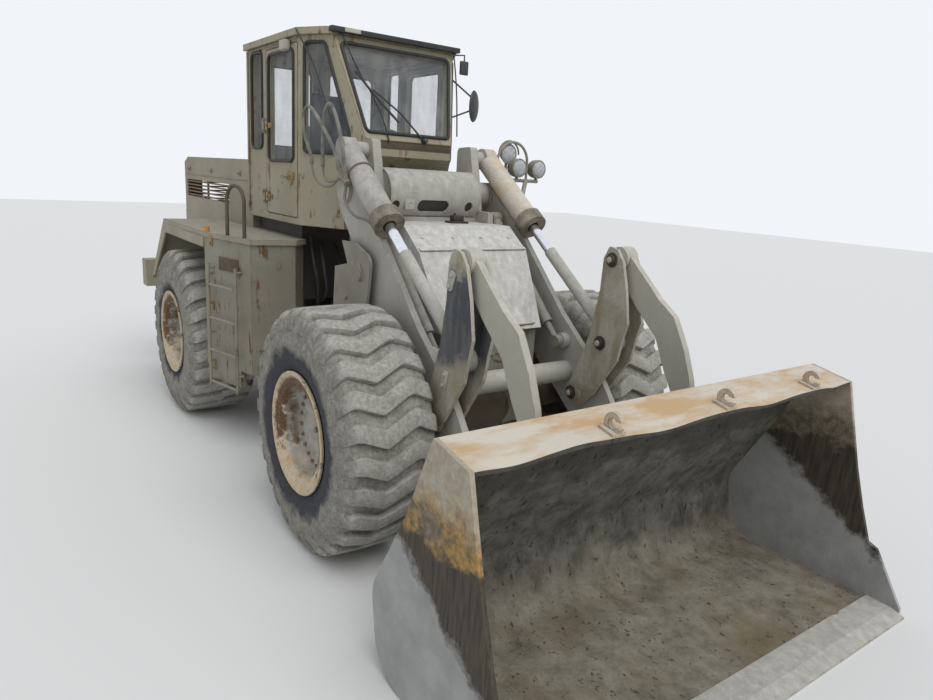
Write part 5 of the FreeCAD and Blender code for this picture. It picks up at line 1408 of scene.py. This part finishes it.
@dataclass
class CabTrim:
    """The wiper, cables, door fittings, roof fittings and lamps on the cab."""

    handle: Point = here(-0.110, -0.752, 2.486)
    roof_z: float = 3.655

    def wiper(self) -> None:
        """The parked wiper: its motor cover, arm and blade."""
        cab = Cab()
        foot = cab.to_space(WindowPlace.SCREEN, LEFT, (0.135, 0.010), 0.010)
        tip = cab.to_space(WindowPlace.SCREEN, LEFT, (-0.300, 0.400), 0.030)
        parts = [bar("wiper cover", cab.to_space(WindowPlace.SCREEN, LEFT, (0.135, 0.010), 0.0),
                     cab.to_space(WindowPlace.SCREEN, LEFT, (0.135, 0.010), 0.045), 0.026, 0.018, rounding=0.004)]
        middle = cab.to_space(WindowPlace.SCREEN, LEFT, (-0.080, 0.210), 0.052)
        parts.append(tube("wiper arm", [foot, middle, tip], 0.0075))
        blade = [cab.to_space(WindowPlace.SCREEN, LEFT, flat, 0.016) for flat in
                 ((-0.420, 0.540), (-0.340, 0.430), (-0.220, 0.290), (-0.090, 0.150))]
        parts.append(tube("wiper blade", blade, 0.010))
        dress(merge("wiper", parts), PLAIN.plastic(), Body.REAR)

    def cables(self) -> None:
        """Thin loose cables from the roof edge down the cab's front."""
        runs = [
            [here(0.060, -0.772, 3.640), here(0.200, -0.690, 3.420), here(0.300, -0.640, 3.150), here(0.395, -0.590, 2.900)],
            [here(0.352, -0.520, 3.640), here(0.420, -0.420, 3.380), here(0.478, -0.300, 3.190), here(0.590, -0.215, 2.930),
             here(0.632, -0.205, 2.800)],
            [here(0.362, 0.560, 3.640), here(0.420, 0.560, 3.420), here(0.505, 0.530, 3.180), here(0.600, 0.480, 2.900)],
        ]
        parts = [tube("cable", run, 0.006, smooth=True) for run in runs]
        dress(merge("cab_cables", parts), PLAIN.rubber(), Body.REAR)

    def roof(self) -> None:
        """The dark worn strip over the windscreen with a clip on it, the dark strip under the windscreen, a lamp box
        and the lifting rings.
        """
        front = 0.388
        half = 0.612
        strip = block("roof_front_strip", here(front - 0.052, -half, self.roof_z - 0.040),
                      here(front + 0.006, half, self.roof_z - 0.0004), 0.002)
        dress(strip, PLAIN.rubber(), Body.REAR)
        grime = merge("screen_foot_strip", [
            block("strip", here(0.610, -0.405, 2.752), here(0.6185, 0.405, 2.818), 0.002),
            tube("strip edge", [here(0.6175, -0.405, 2.812), here(0.6175, 0.405, 2.812)], 0.006)])
        dress(grime, SCREEN_GRIME.material(), Body.REAR)
        clip = block("roof_clip", here(front - 0.06, -0.50, self.roof_z - 0.034), here(front + 0.013, -0.36, self.roof_z - 0.0002), 0.004)
        dress(clip, LINK_GREY.material(), Body.REAR)
        box = block("side_lamp_box", here(-0.235, -0.802, 3.500), here(-0.120, -0.740, 3.585), 0.012)
        dress(box, LINK_GREY.material(), Body.REAR)
        parts = []
        for side in SIDE_NAMES:
            parts.append(ring("roof ring", here(-1.150, side * 0.745, 3.624), (0, 1, 0), 0.024, 0.006))
        dress(merge("lifting_rings", parts), CAB_KHAKI.material(), Body.REAR)

    def door(self, side: int, label: str) -> None:
        """The handle with its plate, the lock and the two strap hinges of one door."""
        x, y, z = self.handle
        parts = [block("plate", (x - 0.075, y - 0.004, z - 0.032), (x + 0.055, y + 0.013, z + 0.030), 0.003),
                 tube("grip", [(x - 0.055, y, z), (x - 0.055, y - 0.034, z), (x + 0.020, y - 0.040, z),
                               (x + 0.036, y - 0.020, z)], 0.009),
                 bar("lock", (x + 0.018, y + 0.006, z - 0.060), (x + 0.018, y - 0.012, z - 0.060), 0.014, rounding=0.003)]
        for height in (2.285, 2.915):
            parts.append(block("strap", here(-0.700, -0.752, height - 0.022), here(-0.560, -0.7375, height + 0.022), 0.004))
            for k in (-0.66, -0.59):
                parts.append(bar("bolt", here(k, -0.745, height), here(k, -0.760, height), 0.009, sides=6))
        piece = merge("door_fittings_" + label, parts)
        if side == LEFT:
            twin = mirrored(piece, "door_fittings_twin")
            bpy.data.objects.remove(piece)
            twin.name = "door_fittings_" + label
            piece = twin
        dress(piece, LATCH_BROWN.material() if side == RIGHT else CAB_KHAKI.material(), "door_" + label)

    def mirrors(self) -> None:
        """The oval mirror on its two struts, and the small square one that hangs from the eaves."""
        turn = math.radians(24.0)
        clear_selection()
        bpy.ops.mesh.primitive_uv_sphere_add(segments=40, ring_count=20, location=(0, 0, 0))
        shell = added("mirror shell")
        for vertex in shell.data.vertices:
            x, y, z = vertex.co
            depth = -0.006 * (1 - y * y - z * z) if x < 0 else 0.030 * x
            vertex.co = (depth, y * 0.085, z * 0.145)
        centre = Vector(here(0.120, 0.985, 3.220))
        shell.data.transform(Matrix.Translation(centre) @ Matrix.Rotation(turn, 4, "Z"))
        parts = [shell]
        cab = Cab()
        for low, high in ((3.080, 3.190), (3.460, 3.280)):
            foot = cab.to_space(WindowPlace.FACET, LEFT, (0.030, low), -0.004)
            tip = centre + Vector((0.016, -0.010, high - centre.z))
            parts.append(tube("strut", [foot, tuple(tip)], 0.008))
        piece = merge("cab_mirror_oval", parts)
        dress(piece, PLAIN.plastic(), Body.REAR, 40.0)
        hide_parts("cab_mirror")
        a = Vector(cab.to_space(WindowPlace.FACET, LEFT, (0.270, 3.610), -0.004))
        b = Vector(cab.to_space(WindowPlace.FACET, LEFT, (0.310, 3.610), 0.110))
        small = [tube("arm", [tuple(a), tuple(b), tuple(b - Vector((0, 0, 0.060)))], 0.007),
                 block("eaves mirror", (b.x - 0.012, b.y - 0.042, b.z - 0.165), (b.x + 0.012, b.y + 0.042, b.z - 0.050),
                       0.006), bar("foot", tuple(a), tuple(a.lerp(b, 0.07)), 0.018)]
        dress(merge("eaves_mirror_small", small), PLAIN.plastic(), Body.REAR)

    def creases(self) -> None:
        """The folded gutter along each side of the cab's roof and a drain down each side at the rear."""
        parts = []
        for side in SIDE_NAMES:
            parts.append(slab("gutter", [here(-1.195, side * 0.738, 3.585), here(0.030, side * 0.738, 3.585),
                                         here(0.030, side * 0.752, 3.575), here(-1.195, side * 0.752, 3.575)],
                              (0, 0, 0.012)))
            parts.append(bar("drain", here(-1.170, side * 0.750, 3.580), here(-1.170, side * 0.750, 2.120), 0.009))
        dress(merge("cab_gutters", parts), CAB_KHAKI.material(), Body.REAR)

    def build(self) -> None:
        """Makes every fitting of the cab."""
        self.mirrors()
        self.wiper()
        self.cables()
        self.roof()
        self.creases()
        for side, label in SIDE_NAMES.items():
            self.door(side, label)


@dataclass
class Seat:
    """The driver's seat as two sewn cushions."""

    cuts: int = 14

    def cushion(self, name: str, low: Point, high: Point, crown: int) -> bpy.types.Object:
        """A crowned closed cushion with sewn channels, its sides pulled in between the corners.

        Args:
            name: the piece's name.
            low: the lowest corner of its room.
            high: the highest corner of its room.
            crown: the axis that it bulges along.

        Returns:
            The cushion.
        """
        clear_selection()
        bpy.ops.mesh.primitive_cube_add(size=2.0)
        obj = added(name)
        bpy.ops.object.mode_set(mode="EDIT")
        bpy.ops.mesh.select_all(action="SELECT")
        bpy.ops.mesh.subdivide(number_cuts=self.cuts)
        bpy.ops.object.mode_set(mode="OBJECT")
        middle = [(a + b) / 2 for a, b in zip(low, high)]
        reach = [(b - a) / 2 for a, b in zip(low, high)]
        across = 1
        third = 3 - crown - across
        for vertex in obj.data.vertices:
            u, v, w = vertex.co[across], vertex.co[third], vertex.co[crown]
            swell = (1 - 0.42 * abs(u) ** 5) * (1 - 0.42 * abs(v) ** 5)
            channel = 1 - 0.07 * max(0.0, math.cos(v * math.pi * 3)) ** 6 - 0.05 * max(0.0, math.cos(u * math.pi * 1.5)) ** 10
            co = [0.0, 0.0, 0.0]
            co[crown] = w * swell * (channel if abs(w) > 0.6 else 1.0)
            co[across] = u * (0.965 + 0.035 * v * v) * (1 - 0.07 * abs(w) ** 4)
            co[third] = v * (0.965 + 0.035 * u * u) * (1 - 0.07 * abs(w) ** 4)
            vertex.co = [m + c * r for m, c, r in zip(middle, co, reach)]
        pick(obj)
        smooth = obj.modifiers.new("smooth", "SUBSURF")
        smooth.levels = 1
        bpy.ops.object.modifier_apply(modifier=smooth.name)
        dress(obj, PLAIN.cloth(), Body.REAR, 80.0)
        return obj

    def build(self) -> None:
        """Makes the cushions in the room of their CAD solids."""
        for node, crown in (("seat_cushion", 2), ("seat_back", 0)):
            low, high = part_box(node)
            piece = self.cushion(node + "_sewn", low, high, crown)
            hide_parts(node)


@dataclass
class Hydraulics:
    """The hoses over the right dump cylinder with their thin pipes, and the hoses in the dark gap by the cab."""

    hose_radius: float = 0.014
    pipe_radius: float = 0.009
    loops: tuple[tuple[Point, ...], ...] = (
        ((0.912, -0.782, 2.572), (0.876, -0.788, 2.672), (0.742, -0.790, 2.790), (0.600, -0.792, 2.905),
         (0.455, -0.792, 3.010), (0.330, -0.792, 3.048), (0.240, -0.790, 2.950), (0.292, -0.788, 2.800),
         (0.375, -0.788, 2.715), (0.424, -0.787, 2.640)),
        ((1.016, -0.784, 2.550), (1.006, -0.788, 2.650), (0.958, -0.790, 2.790), (0.888, -0.790, 2.915),
         (0.806, -0.790, 3.020), (0.722, -0.790, 3.045), (0.655, -0.790, 2.965), (0.636, -0.788, 2.845),
         (0.632, -0.788, 2.735), (0.634, -0.787, 2.625)),
    )
    thin: tuple[tuple[Point, ...], ...] = (
        ((0.424, -0.787, 2.640), (0.428, -0.787, 2.560), (0.500, -0.786, 2.470), (0.640, -0.784, 2.426),
         (0.820, -0.778, 2.440), (0.880, -0.772, 2.500)),
        ((0.634, -0.787, 2.625), (0.636, -0.787, 2.545), (0.668, -0.785, 2.484), (0.738, -0.782, 2.466),
         (0.850, -0.776, 2.482), (0.930, -0.772, 2.500)),
    )
    bay: tuple[tuple[Point, ...], ...] = (
        ((-0.110, -0.560, 1.980), (0.020, -0.600, 1.800), (0.060, -0.560, 1.600), (-0.020, -0.520, 1.420), (-0.110, -0.500, 1.320)),
        ((-0.110, -0.470, 1.930), (0.060, -0.520, 1.820), (0.120, -0.520, 1.640), (0.100, -0.480, 1.480), (-0.110, -0.450, 1.380)),
        ((-0.110, -0.330, 1.900), (0.050, -0.350, 1.780), (0.130, -0.380, 1.600), (0.050, -0.360, 1.450), (-0.110, -0.350, 1.330)),
    )

    steel: tuple[Point, ...] = ((0.327, 0.061, 0.770), (0.347, 0.150, 0.773), (0.415, 0.196, 0.772),
                                (0.560, 0.186, 0.760), (0.684, 0.096, 0.7455), (0.759, 0.0735, 0.7375))

    def beside(self, along: float, below: float, y: float) -> Point:
        """A point beside the right dump cylinder, along its middle line from its upper pin."""
        return here(0.8 + 0.7984 * along - 0.6022 * below, y, 2.72 - 0.6022 * along - 0.7984 * below)

    def valve(self) -> None:
        """The valve block on the right dump cylinder with its strap and the bent steel pipe."""
        y = -0.770
        parts = [bar("valve", self.beside(0.235, 0.061, y), self.beside(0.345, 0.061, y), 0.0295, sides=32,
                     rounding=0.004)]
        across = Vector((0.7984, 0, -0.6022))
        parts.append(ring("strap", self.beside(0.290, 0.0, -0.664), tuple(across), 0.0975, 0.007, 56))
        parts.append(tube("steel pipe", [self.beside(d, b, -out) for d, b, out in self.steel], 0.011, smooth=True))
        for along, (x, py, z) in ((0.247, (0.912, -0.782, 2.570)), (0.330, (1.016, -0.784, 2.548))):
            parts.append(tube("port", [self.beside(along, 0.061, y), here(x, py, z)], 0.018))
        dress(merge("cylinder_valve", parts), GLAND_TAN.material(), Body.BARRELS)

    def build(self) -> None:
        """Makes the hoses, the pipes and their nuts."""
        self.valve()
        hoses = [tube("hose", [here(*p) for p in loop], self.hose_radius, smooth=True, sides=4) for loop in self.loops]
        dress(merge("cylinder_hoses", hoses), PLAIN.plain("dusty hose", (0.10, 0.095, 0.08), (0.26, 0.25, 0.22), 0.85),
              Body.BARRELS, 60.0)
        pipes = [tube("pipe", [here(*p) for p in run], self.pipe_radius, smooth=True) for run in self.thin]
        for loop in self.loops:
            x, y, z = loop[-1]
            pipes.append(bar("nut", here(x, y, z - 0.045), here(x, y, z + 0.012), 0.019, sides=6, rounding=0.002))
            a, b = Vector(here(*loop[0])), Vector(here(*loop[1]))
            along = (b - a).normalized()
            pipes.append(bar("nut", tuple(a - along * 0.010), tuple(a + along * 0.040), 0.020, sides=6, rounding=0.002))
        dress(merge("cylinder_thin_pipes", pipes), GLAND_TAN.material(), Body.BARRELS)
        parts = [tube("bay hose", [here(*p) for p in run], 0.016, smooth=True) for run in self.bay]
        dress(merge("frame_hoses", parts), PLAIN.rubber(), Body.REAR, 60.0)


@dataclass
class Linkage:
    """Keeper plates with bolts, and pin heads with washers and caps, on the bellcranks."""

    plate: float = 0.7495

    def keeper(self, x: float, z: float, angle: float, side: int, out: float) -> list[bpy.types.Object]:
        """A keeper plate with its two bolts on a bellcrank's outer face.

        Args:
            x: its middle along the machine.
            z: its middle's height.
            angle: how far it is turned, in degrees.
            side: the machine's side.
            out: the half width that it lies on.

        Returns:
            Its parts.
        """
        turn = math.radians(angle)
        u, w = Vector((math.cos(turn), math.sin(turn))), Vector((-math.sin(turn), math.cos(turn)))
        corners = [Vector((x, z)) + u * a + w * b for a, b in
                   rounded_loop([(-0.062, -0.030), (0.062, -0.030), (0.062, 0.030), (-0.062, 0.030)], 0.018, 3)]
        parts = [slab("keeper", [here(c.x, side * out, c.y) for c in corners], (0, side * 0.010, 0), 0.002)]
        for k in (-0.036, 0.036):
            c = Vector((x, z)) + u * k
            parts.append(bar("bolt", here(c.x, side * (out + 0.008), c.y), here(c.x, side * (out + 0.024), c.y), 0.015,
                             sides=6, rounding=0.002))
        return parts

    def build(self) -> None:
        """Makes the fittings of the linkage."""
        parts = []
        for side in SIDE_NAMES:
            parts += self.keeper(2.413, 1.955, 72.0, side, self.plate)
            parts += self.keeper(2.395, 1.330, 80.0, side, self.plate)
        dress(merge("crank_keepers", parts), ARM_DUST.material(), Body.CRANKS)
        heads, caps = [], []
        for x, z in ((2.454, 2.060), (2.421, 1.454), (2.177, 1.012)):
            heads.append(bar("washer", here(x, 0.5790, z), here(x, 0.5690, z), 0.052, sides=36, rounding=0.003))
            heads.append(bar("head", here(x, 0.5700, z), here(x, 0.5480, z), 0.036, sides=28, rounding=0.006))
            caps.append(bar("cap", here(x, 0.5500, z), here(x, 0.5400, z), 0.024, sides=6, rounding=0.002))
        dress(merge("crank_pin_heads", heads), DARK_IRON.material(), Body.CRANKS)
        dress(merge("crank_pin_caps", caps), ARM_DUST.material(), Body.CRANKS)


@dataclass
class CrossTube:
    """The closed tube between the towers, with its slot, its round holes and a small stop under them."""

    half: float = 0.4235
    middle: Flat = (0.880, 2.405)
    radius: float = 0.1965
    wall: float = 0.012

    def cut(self, obj: bpy.types.Object, tool: bpy.types.Object) -> None:
        """Cuts one piece out of another and removes the tool."""
        pick(obj)
        cutter = obj.modifiers.new("cut", "BOOLEAN")
        cutter.operation = "DIFFERENCE"
        cutter.solver = "EXACT"
        cutter.object = tool
        bpy.ops.object.modifier_apply(modifier=cutter.name)
        bpy.data.objects.remove(tool)

    def build(self) -> None:
        """Makes the tube, cuts its openings, lines its inside with near-black iron as painted shade seen through them
        and adds the stop.
        """
        x, z = self.middle
        obj = bar("cross_tube_closed", here(x, -self.half, z), here(x, self.half, z), self.radius, sides=96)
        hollow = bar("hollow", here(x, -self.half - 0.1, z), here(x, self.half + 0.1, z), self.radius - self.wall,
                     sides=64)
        self.cut(obj, hollow)
        low = z - 0.080
        front = x + math.sqrt(self.radius ** 2 - 0.080 ** 2)
        for y, reach, tall in ((-0.372, 0.0, 0.036), (-0.027, 0.103, 0.044), (0.318, 0.0, 0.038)):
            wide = reach + tall
            loop = rounded_loop([(y - wide, -tall), (y + wide, -tall), (y + wide, tall), (y - wide, tall)],
                                tall * 0.98, 6)
            self.cut(obj, slab("opening", [here(front - 0.09, a, low + b) for a, b in loop], (0.16, 0, 0)))
        dress(obj, TUBE_DUST.material(), Body.FRONT)
        # Painted shade: a near-black lining inside the tube, so that the openings show dark.
        lining = bar("cross_tube_shade_lining", here(x, 0.012 - self.half, z), here(x, self.half - 0.012, z),
                     self.radius - self.wall - 0.0006, sides=96)
        dress(lining, DARK_IRON.material(), Body.FRONT)
        at = low + 0.010
        stop = block("stop", here(front - 0.040, -0.297, at - 0.042), here(front + 0.018, -0.209, at + 0.042), 0.008)
        hole = ring("stop hole", here(front + 0.018, -0.253, at), (1, 0, 0), 0.017, 0.005, 24)
        seams = [ring("weld", here(x, side * (self.half - 0.004), z), (0, 1, 0), self.radius - 0.001, 0.006, 64)
                 for side in SIDE_NAMES]
        dress(merge("cross_tube_fittings", [stop, hole, *seams]), TUBE_DUST.material(), Body.FRONT)


@dataclass
class FrontTrim:
    """The nose's creases and muddy ledge, the wire loop, the clamp and the lamps' glass."""

    nose_half: float = 0.495

    def nose(self) -> None:
        """The ragged ledge at the nose's foot, the seam across it and the clamp on top."""
        ledge = self.ragged("nose_ledge", 1.815, 1.478, 0.440, 0.085, 0.270)
        dress(ledge, MUD_BROWN.material(), Body.FRONT, 60.0)
        crust = self.ragged("nose_crust", 1.885, 1.522, 0.434, 0.052, 0.056)
        dress(crust, MUD_BROWN.material(), Body.FRONT, 60.0)
        parts = [slab("seam", [here(1.620 + 0.004, -self.nose_half + 0.01, 2.036), here(1.620 + 0.004, self.nose_half - 0.01, 2.036),
                               here(1.600, self.nose_half - 0.01, 2.052), here(1.600, -self.nose_half + 0.01, 2.052)],
                      (0.006, 0, 0.008), 0.002)]
        for y in (-0.40, -0.13, 0.13, 0.40):
            parts.append(bar("screw", here(1.50, y, 2.112), here(1.509, y, 2.126), 0.013, sides=6))
        dress(merge("nose_seam", parts), PALE_DUST.material(), Body.FRONT)
        clamp = merge("nose_clamp", [block("clamp foot", here(1.100, 0.060, 2.198), here(1.210, 0.220, 2.216), 0.005),
                                     block("clamp jaw", here(1.120, 0.090, 2.212), here(1.190, 0.190, 2.262), 0.012),
                                     bar("clamp bolt", here(1.155, 0.115, 2.256), here(1.155, 0.115, 2.280), 0.012, sides=6)])
        dress(clamp, DARK_IRON.material(), Body.FRONT)

    def ragged(self, name: str, x: float, z: float, half: float, depth: float, height: float) -> bpy.types.Object:
        """An uneven crust of mud on a front face.

        Args:
            name: the piece's name.
            x: the face's place along the machine.
            z: the crust's top.
            half: its half width.
            depth: how far it stands out.
            height: how far it reaches down.

        Returns:
            The crust.
        """
        clear_selection()
        bpy.ops.mesh.primitive_cube_add(size=2.0)
        obj = added(name)
        bpy.ops.object.mode_set(mode="EDIT")
        bpy.ops.mesh.select_all(action="SELECT")
        bpy.ops.mesh.subdivide(number_cuts=22)
        bpy.ops.object.mode_set(mode="OBJECT")
        for vertex in obj.data.vertices:
            u, v, w = vertex.co
            rough = noise.fractal(Vector((v * 4.0, w * 2.0, u)), 0.9, 2.1, 5)
            top = 1.0 - 0.30 * (noise.noise(Vector((v * 6.0, 3.0, 0.0))) + 0.5)
            fade = max(0.05, 1 - abs(v) ** 8)
            vertex.co = here(x + (u * 0.5 + 0.5) * depth * fade * (0.65 + 0.5 * rough), v * half,
                             z - height / 2 + w * height / 2 * top)
        return obj

    def plates(self) -> None:
        """The wire loop on the right outer plate, and bolts along the foot of each outer plate."""
        parts = [tube("loop", [here(1.215, -0.760, 1.905), here(1.262, -0.772, 1.880), here(1.285, -0.774, 1.815),
                               here(1.240, -0.770, 1.770), here(1.200, -0.760, 1.800)], 0.006, smooth=True)]
        for side in SIDE_NAMES:
            for x, z in ((1.02, 1.62), (1.02, 1.50), (1.16, 1.44)):
                parts.append(bar("bolt", here(x, side * 0.756, z), here(x, side * 0.774, z), 0.018, sides=6, rounding=0.002))
        dress(merge("outer_plate_fittings", parts), PLATE_DUST.material(), Body.FRONT)

    def lamps(self) -> None:
        """Glass faces, rims, a housing, a stem and a brow of the work lamps."""
        faces, rims = [], []
        for y in (1.060, 1.290):
            front = 0.750 - 0.015 + 0.045
            faces.append(self.dome("lamp glass", here(front, y, 2.670), 0.072, 0.030))
            rims.append(ring("lamp rim", here(front + 0.002, y, 2.670), (1, 0, 0), 0.076, 0.008))
        back = 0.750 - 0.020
        faces.append(self.dome("lamp glass", here(back, 0.965, 2.786), 0.078, 0.026))
        rims.append(ring("lamp rim", here(back + 0.002, 0.965, 2.786), (1, 0, 0), 0.082, 0.008))
        rims.append(bar("housing", here(back - 0.055, 0.965, 2.786), here(back, 0.965, 2.786), 0.060, 0.084, 40, 0.005))
        rims.append(tube("stem", [here(back - 0.030, 0.965, 2.560), here(back - 0.030, 0.965, 2.720)], 0.013))
        rims.append(tube("brow", [here(back + 0.004, 0.965 + 0.112 * math.cos(math.radians(a)),
                                       2.786 + 0.112 * math.sin(math.radians(a))) for a in range(0, 181, 12)], 0.009))
        dress(merge("work_lamp_glass", faces), PLAIN.lens(), Body.FRONT, 60.0)
        dress(merge("work_lamp_rims", rims), PLATE_DUST.material(), Body.FRONT)

    def dome(self, name: str, centre: Point, radius: float, height: float) -> bpy.types.Object:
        """A shallow glass dome that faces forwards."""
        clear_selection()
        bpy.ops.mesh.primitive_uv_sphere_add(segments=36, ring_count=18, location=centre)
        obj = added(name)
        obj.scale = (height, radius, radius)
        settle(obj)
        return obj

    def build(self) -> None:
        """Makes every fitting of the front frame."""
        self.nose()
        self.plates()
        self.lamps()


@dataclass
class RearTrim:
    """The step side's fittings and the hood's latches and seams."""

    def steps(self) -> None:
        """A dark plate at the steps' top, painted shade of a recess with some rust, strap plates and bolts beside the
        ladders.
        """
        recess, straps = [], []
        for side in SIDE_NAMES:
            start = Vector(here(-0.640, side * 1.3025, 0))
            out = Vector((0.2588, side * 0.966, 0))
            along = Vector((0.966, -side * 0.2588, 0))
            # A dark plate proud of the step side: painted shade standing in for the recess, with some rust.
            recess.append(self.panel("recess", start, along, out, (0.16, 0.46), (1.640, 1.755), 0.004, 0.006))
            for z in (1.88, 1.30, 0.74):
                straps.append(self.panel("strap", start, along, out, (0.015, 0.060), (z - 0.045, z + 0.045), 0.0, 0.012))
            for k in range(5):
                at = start + along * 0.037 + out * 0.006
                z = 0.78 + k * 0.27
                straps.append(bar("bolt", (at.x, at.y, z), (at.x + out.x * 0.016, at.y + out.y * 0.016, z), 0.011, sides=6))
        dress(merge("step_recess_shades", recess), RECESS_SHADE_AND_RUST.material(), Body.REAR)
        dress(merge("step_straps", straps), LATCH_BROWN.material(), Body.REAR)

    def panel(self, name: str, start: Vector, along: Vector, out: Vector, span: Flat, levels: Flat, low: float,
              thick: float) -> bpy.types.Object:
        """A small plate on the slanted step side.

        Args:
            name: the piece's name.
            start: the rear end of the step side on the ground.
            along: the step side's direction.
            out: its outward direction.
            span: where the plate starts and ends along it.
            levels: its lowest and highest edge.
            low: how far its back face stands out.
            thick: its thickness.

        Returns:
            The plate.
        """
        a, b = start + along * span[0] + out * low, start + along * span[1] + out * low
        outline = [(a.x, a.y, levels[0]), (b.x, b.y, levels[0]), (b.x, b.y, levels[1]), (a.x, a.y, levels[1])]
        return slab(name, outline, tuple(out * thick), min(0.002, thick / 3))

    def hood(self) -> None:
        """Latches with their pins and a seam on each side of the hood."""
        parts = []
        for side in SIDE_NAMES:
            out = side * 0.7005
            for x in (-3.50, -2.60, -1.60):
                parts.append(block("latch", here(x - 0.03, min(out, out + side * 0.014), 2.440),
                                   here(x + 0.03, max(out, out + side * 0.014), 2.490), 0.004))
                parts.append(bar("latch pin", here(x, out + side * 0.012, 2.465), here(x, out + side * 0.026, 2.465), 0.010))
            parts.append(slab("seam", [here(-3.70, out, 2.395), here(-1.24, out, 2.395), here(-1.24, out, 2.403), here(-3.70, out, 2.403)],
                              (0, side * 0.005, 0)))
        dress(merge("hood_fittings", parts), KHAKI.material(), Body.REAR)

    def build(self) -> None:
        """Makes every fitting of the rear frame."""
        self.steps()
        self.hood()


def main() -> None:
    """Builds every piece in order and reports each."""
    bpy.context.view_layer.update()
    Studio().build()
    finish_nodes()
    for part in (Tyres(), Wheels(), Bucket(), Cab(), CabTrim(), Seat(), Hydraulics(), Linkage(), CrossTube(), FrontTrim(), RearTrim()):
        part.build()
        log.info("%s done", type(part).__name__)


if __name__ == "__main__":
    logging.basicConfig(level=logging.INFO, format="%(message)s")
    main()
